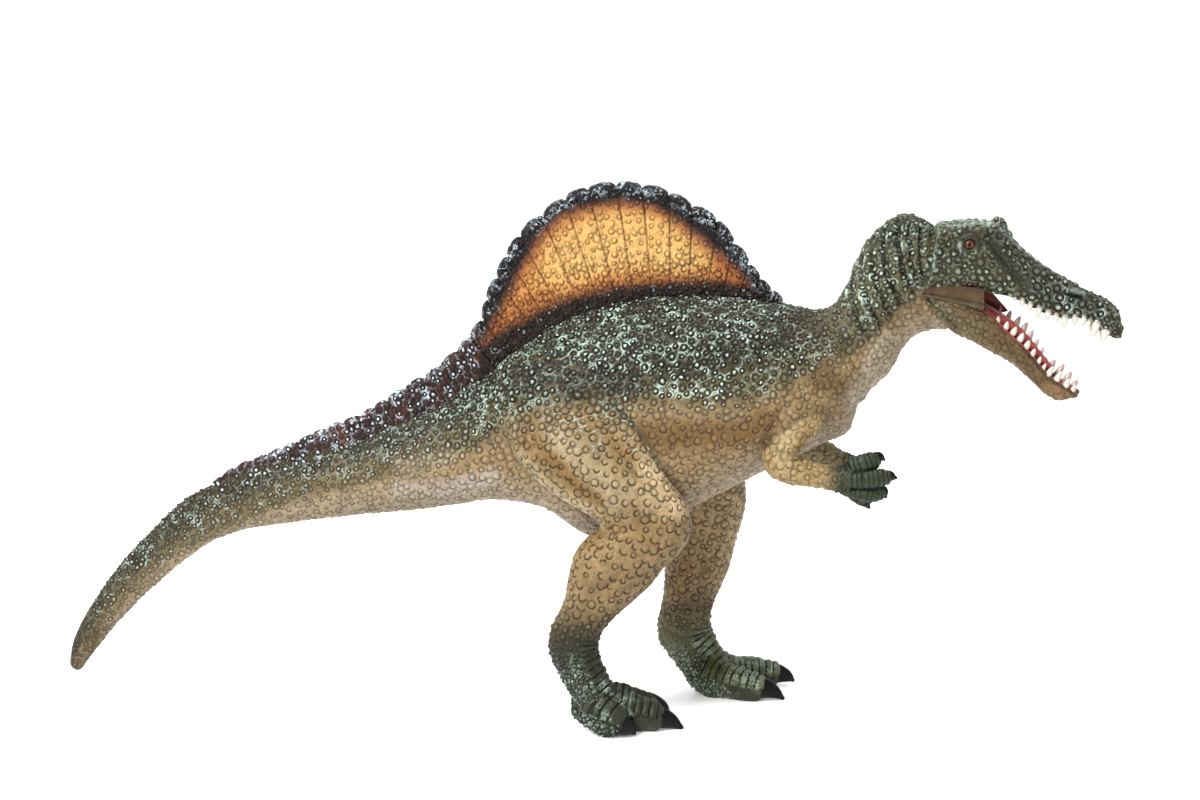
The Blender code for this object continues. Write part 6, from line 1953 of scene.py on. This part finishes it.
def corner_skin(side, reach, drawn=CORNER):
    rows_out = []
    count = len(drawn)
    for i in range(count * 4 - 3):
        t = i / 4
        k0, s = min(int(t), count - 2), t - min(int(t), count - 2)
        (au, av), (bu, bv) = drawn[k0]
        (cu, cv), (du, dv) = drawn[k0 + 1]
        top = head_pt(au + (cu - au) * s, av + (cv - av) * s, -reach)
        low = head_pt(bu + (du - bu) * s, bv + (dv - bv) * s, -reach)
        if side > 0:
            top, low = top + 2 * reach * plane, low + 2 * reach * plane
        thick = 0.8 * (1 - 0.55 * t / (count - 1))
        ring_points = []
        for j in range(40):
            q = j / 40 * 2 * math.pi
            fold = 0.75 * math.exp(-(((math.sin(q) + 0.62) / 0.30) ** 2)) - 0.30 * math.exp(-(((math.sin(q) - 0.1) / 0.45) ** 2))
            ring_points.append((top + low) / 2 + (top - low) / 2 * math.sin(q) + plane * (thick * math.cos(q) + side * fold * (1 if side * math.cos(q) > 0 else 0.3)))
        rows_out.append(np.array(ring_points))
    return skin(rows_out, rows_out[0].mean(0), rows_out[-1].mean(0))


inner_v, inner_f, _ = many([corner_skin(-1, 5.2, THROAT[:2]), corner_skin(1, 5.2, THROAT)])
piece("throat_skin", inner_v, inner_f, "lower_jaw", mouth_material, slot="mouth_paint", attrs={"deep": np.full(len(inner_v), 0.6)})
k = Nodes("mouth_corner")
at, fine = k.noise(500, 3), k.noise(1800, 2)
colour = k.mix(k.ramp(at, 0.35, 0.7), lin(102, 80, 52), lin(82, 63, 40))
colour = k.mix(k.attr("lip"), colour, k.mix(k.ramp(at, 0.35, 0.7), lin(108, 98, 72), lin(86, 76, 54)))
# painted shade: roof darkens the top of the corner skin, under the head's lip
colour = k.mix(k.maths("MULTIPLY", k.attr("roof"), 0.75), colour, lin(84, 60, 42))
colour = k.mix(k.maths("MULTIPLY", k.attr("seat"), 0.8), colour, lin(54, 40, 28))
k.bump(k.maths("ADD", at, k.maths("MULTIPLY", fine, 0.3)), 0.4, 0.0003)
corner_material = k.finish(colour, k.ramp(at, 0.3, 0.7, 0.42, 0.55), 0.15)
v, f, _ = many([corner_skin(-1, 8.6), corner_skin(1, 8.6)])
n = normals_of(v, f)
v = v + n * (0.12 * grid_noise(v, 1.3, 85) + 0.14 * grid_noise(v, 3.0, 86))[:, None]
tu, tw = sheet_of(near_half(v, HEAD_TURN))
_, above = to_line(tu, tw, [(924, 293), (945, 297), (965, 301), (985, 304)])
# roof marks the painted shade under the head's lip
piece("mouth_corners", v, f, "lower_jaw", corner_material, slot="mouth_paint", attrs={"lip": ease(0.5, 2.5, above), "seat": np.exp(-((above / 1.3) ** 2)), "roof": ease(4, -1, tw - 288.5 - (tu - 950) * 0.06)})

# Eyes: an orange-red iris with an upright dark pupil, in a dark rim.
k = Nodes("eye_paint")
out, slit, at = k.attr("out"), k.attr("slit"), k.noise(2400, 3)
colour = k.mix(k.ramp(at, 0.3, 0.7), lin(152, 78, 44), lin(104, 50, 30))
colour = k.mix(k.ramp(out, 0.66, 0.86), colour, lin(30, 22, 16))
colour = k.mix(k.ramp(slit, 0.42, 0.54, 1.0, 0.0), colour, lin(8, 7, 7))
eye_material = k.finish(colour, k.ramp(at, 0.3, 0.7, 0.20, 0.28), 0.25, 0.0, 0.05)
EYE_SIZE = 1.36
shapes, facts = [], []
for side in (-1, 1):
    mine = np.where(head_off * side > 0)[0]
    at = mine[np.argmin(np.hypot(head_u[mine] - 970.5, head_w[mine] - 244.0))]
    out_way = head_n[at] * 0.3 + plane * side
    out_way /= np.linalg.norm(out_way)
    centre = head_v[at] - out_way * 0.45
    across = np.cross(out_way, [0, 0, 1])
    across /= np.linalg.norm(across)
    upright = np.cross(across, out_way)
    rings = []
    for lat in np.linspace(0, math.pi, 22)[1:-1]:
        lon = np.arange(32) * 2 * math.pi / 32
        rings.append(centre + EYE_SIZE * (math.cos(lat) * out_way * 0.85 + math.sin(lat) * (np.outer(np.cos(lon), across) + np.outer(np.sin(lon), upright))))
    shapes.append(skin(rings, centre + EYE_SIZE * 0.85 * out_way, centre - EYE_SIZE * 0.85 * out_way))
    facts.append((centre, across, upright))
v, f, own = many(shapes)
centre = np.array([x[0] for x in facts])[own]
ax = ((v - centre) * np.array([x[1] for x in facts])[own]).sum(1) / EYE_SIZE
ay = ((v - centre) * np.array([x[2] for x in facts])[own]).sum(1) / EYE_SIZE
piece("eyes", v, f, "head", eye_material, slot="eye_paint", attrs={"out": np.hypot(ax * 0.88, ay * 1.15), "slit": np.hypot(ax * 1.6, ay * 0.66)})

# Claws.
k = Nodes("claw_paint")
at, fine = k.noise(700, 3), k.noise(2400, 3)
tipness = k.attr("tipness")
colour = k.mix(k.ramp(at, 0.35, 0.75), lin(10, 9, 10), lin(20, 17, 18))
colour = k.mix(k.maths("MULTIPLY", k.ramp(fine, 0.55, 0.8), k.maths("MULTIPLY", tipness, 0.5)), colour, lin(110, 84, 74))
k.bump(k.maths("ADD", at, k.maths("MULTIPLY", fine, 0.5)), 0.3, 0.0002)
claw_material = k.finish(colour, k.ramp(at, 0.3, 0.7, 0.34, 0.46), 0.14)
for name, group, table, digits, ends, soft in LIMBS:
    v, f, own = many([claw(nail, 0.45, 22) for _, nail in digits])
    n = normals_of(v, f)
    v = v + n * (0.06 * grid_noise(v, 1.3, 90 + group))[:, None]
    if "leg" in name:
        v[:, 2] = np.maximum(v[:, 2], 0.0)
    start = np.array([pt(*nail[0][:3]) for _, nail in digits])[own]
    end = np.array([pt(*nail[-1][:3]) for _, nail in digits])[own]
    t = ((v - start) * (end - start)).sum(1) / ((end - start) ** 2).sum(1)
    piece(f"{name}_claws", v, f, name, claw_material, slot="claw_paint", attrs={"tipness": ease(0.5, 1.0, t)})


# ------------------------------------------------------------------ stage, light and camera
def area_light(name, place, aim, size, power, colour=(1, 1, 1)):
    lamp = bpy.data.lights.new(name, "AREA")
    lamp.shape = "RECTANGLE"
    lamp.size, lamp.size_y = size
    lamp.energy = power
    lamp.color = colour
    obj = bpy.data.objects.new(name, lamp)
    obj.location = place
    obj.rotation_euler = (Vector(aim) - Vector(place)).to_track_quat("-Z", "Y").to_euler()
    bpy.context.scene.collection.objects.link(obj)
    return obj


floor_mesh = bpy.data.meshes.new("floor")
w = 9.0
floor_mesh.from_pydata([(-w, -4, 0), (w, -4, 0), (w, 14, 0), (-w, 14, 0)], [], [(0, 1, 2, 3)])
floor = bpy.data.objects.new("floor", floor_mesh)
bpy.context.scene.collection.objects.link(floor)
k = Nodes("white_floor")
cloud = k.noise(3.0, 2)
k.finish(k.mix(k.ramp(cloud, 0.3, 0.7), (0.93, 0.93, 0.935), (0.96, 0.96, 0.96)), k.ramp(cloud, 0.3, 0.7, 0.22, 0.27), 0.35)
k.shader.inputs["Emission Color"].default_value = (1.0, 1.0, 1.0, 1.0)
k.shader.inputs["Emission Strength"].default_value = 0.22
floor_mesh.materials.append(k.material)
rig.stage(floor)

# A white cyclorama behind the figure, and a darker room towards the front, so that the lamps model its scales.
world = bpy.data.worlds.new("studio")
bpy.context.scene.world = world
world.use_nodes = True
tree = world.node_tree
sky = tree.nodes["Background"]
sky.inputs["Color"].default_value = (1.0, 1.0, 1.0, 1.0)
place, parts_of, fall = tree.nodes.new("ShaderNodeTexCoord"), tree.nodes.new("ShaderNodeSeparateXYZ"), tree.nodes.new("ShaderNodeMapRange")
tree.links.new(place.outputs["Generated"], parts_of.inputs[0])
tree.links.new(parts_of.outputs["Y"], fall.inputs["Value"])
for socket, value in zip(list(fall.inputs)[1:5], (-0.35, 0.45, 0.30, 1.02)):
    socket.default_value = value
tree.links.new(fall.outputs[0], sky.inputs["Strength"])
area_light("key_light", (-0.62, -0.80, 0.88), (0.0, 0.0, 0.06), (0.42, 0.42), 27.0)
area_light("top_light", (0.05, -0.05, 0.95), (0.0, 0.0, 0.05), (0.9, 0.6), 8.0)
area_light("side_light", (0.9, -0.6, 0.45), (0.05, 0.0, 0.08), (0.5, 0.6), 2.0)

camera = bpy.data.cameras.new("camera")
camera.lens, camera.sensor_width = 85.0, 36.0
camera.clip_start, camera.clip_end = 0.02, 60.0
eye = bpy.data.objects.new("camera", camera)
eye.location = (EYE - SHIFT) * MM
eye.rotation_euler = Vector((0.0, CE, -SE)).to_track_quat("-Z", "Y").to_euler()
bpy.context.scene.collection.objects.link(eye)
bpy.context.scene.camera = eye
bpy.context.scene.view_settings.view_transform = "Standard"

own_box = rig.bounds()
with open("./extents.json", "w") as out:
    json.dump({"cad": [[float(x) for x in corner] for corner in cad_box], "visual": [[float(x) for x in corner] for corner in own_box]}, out)
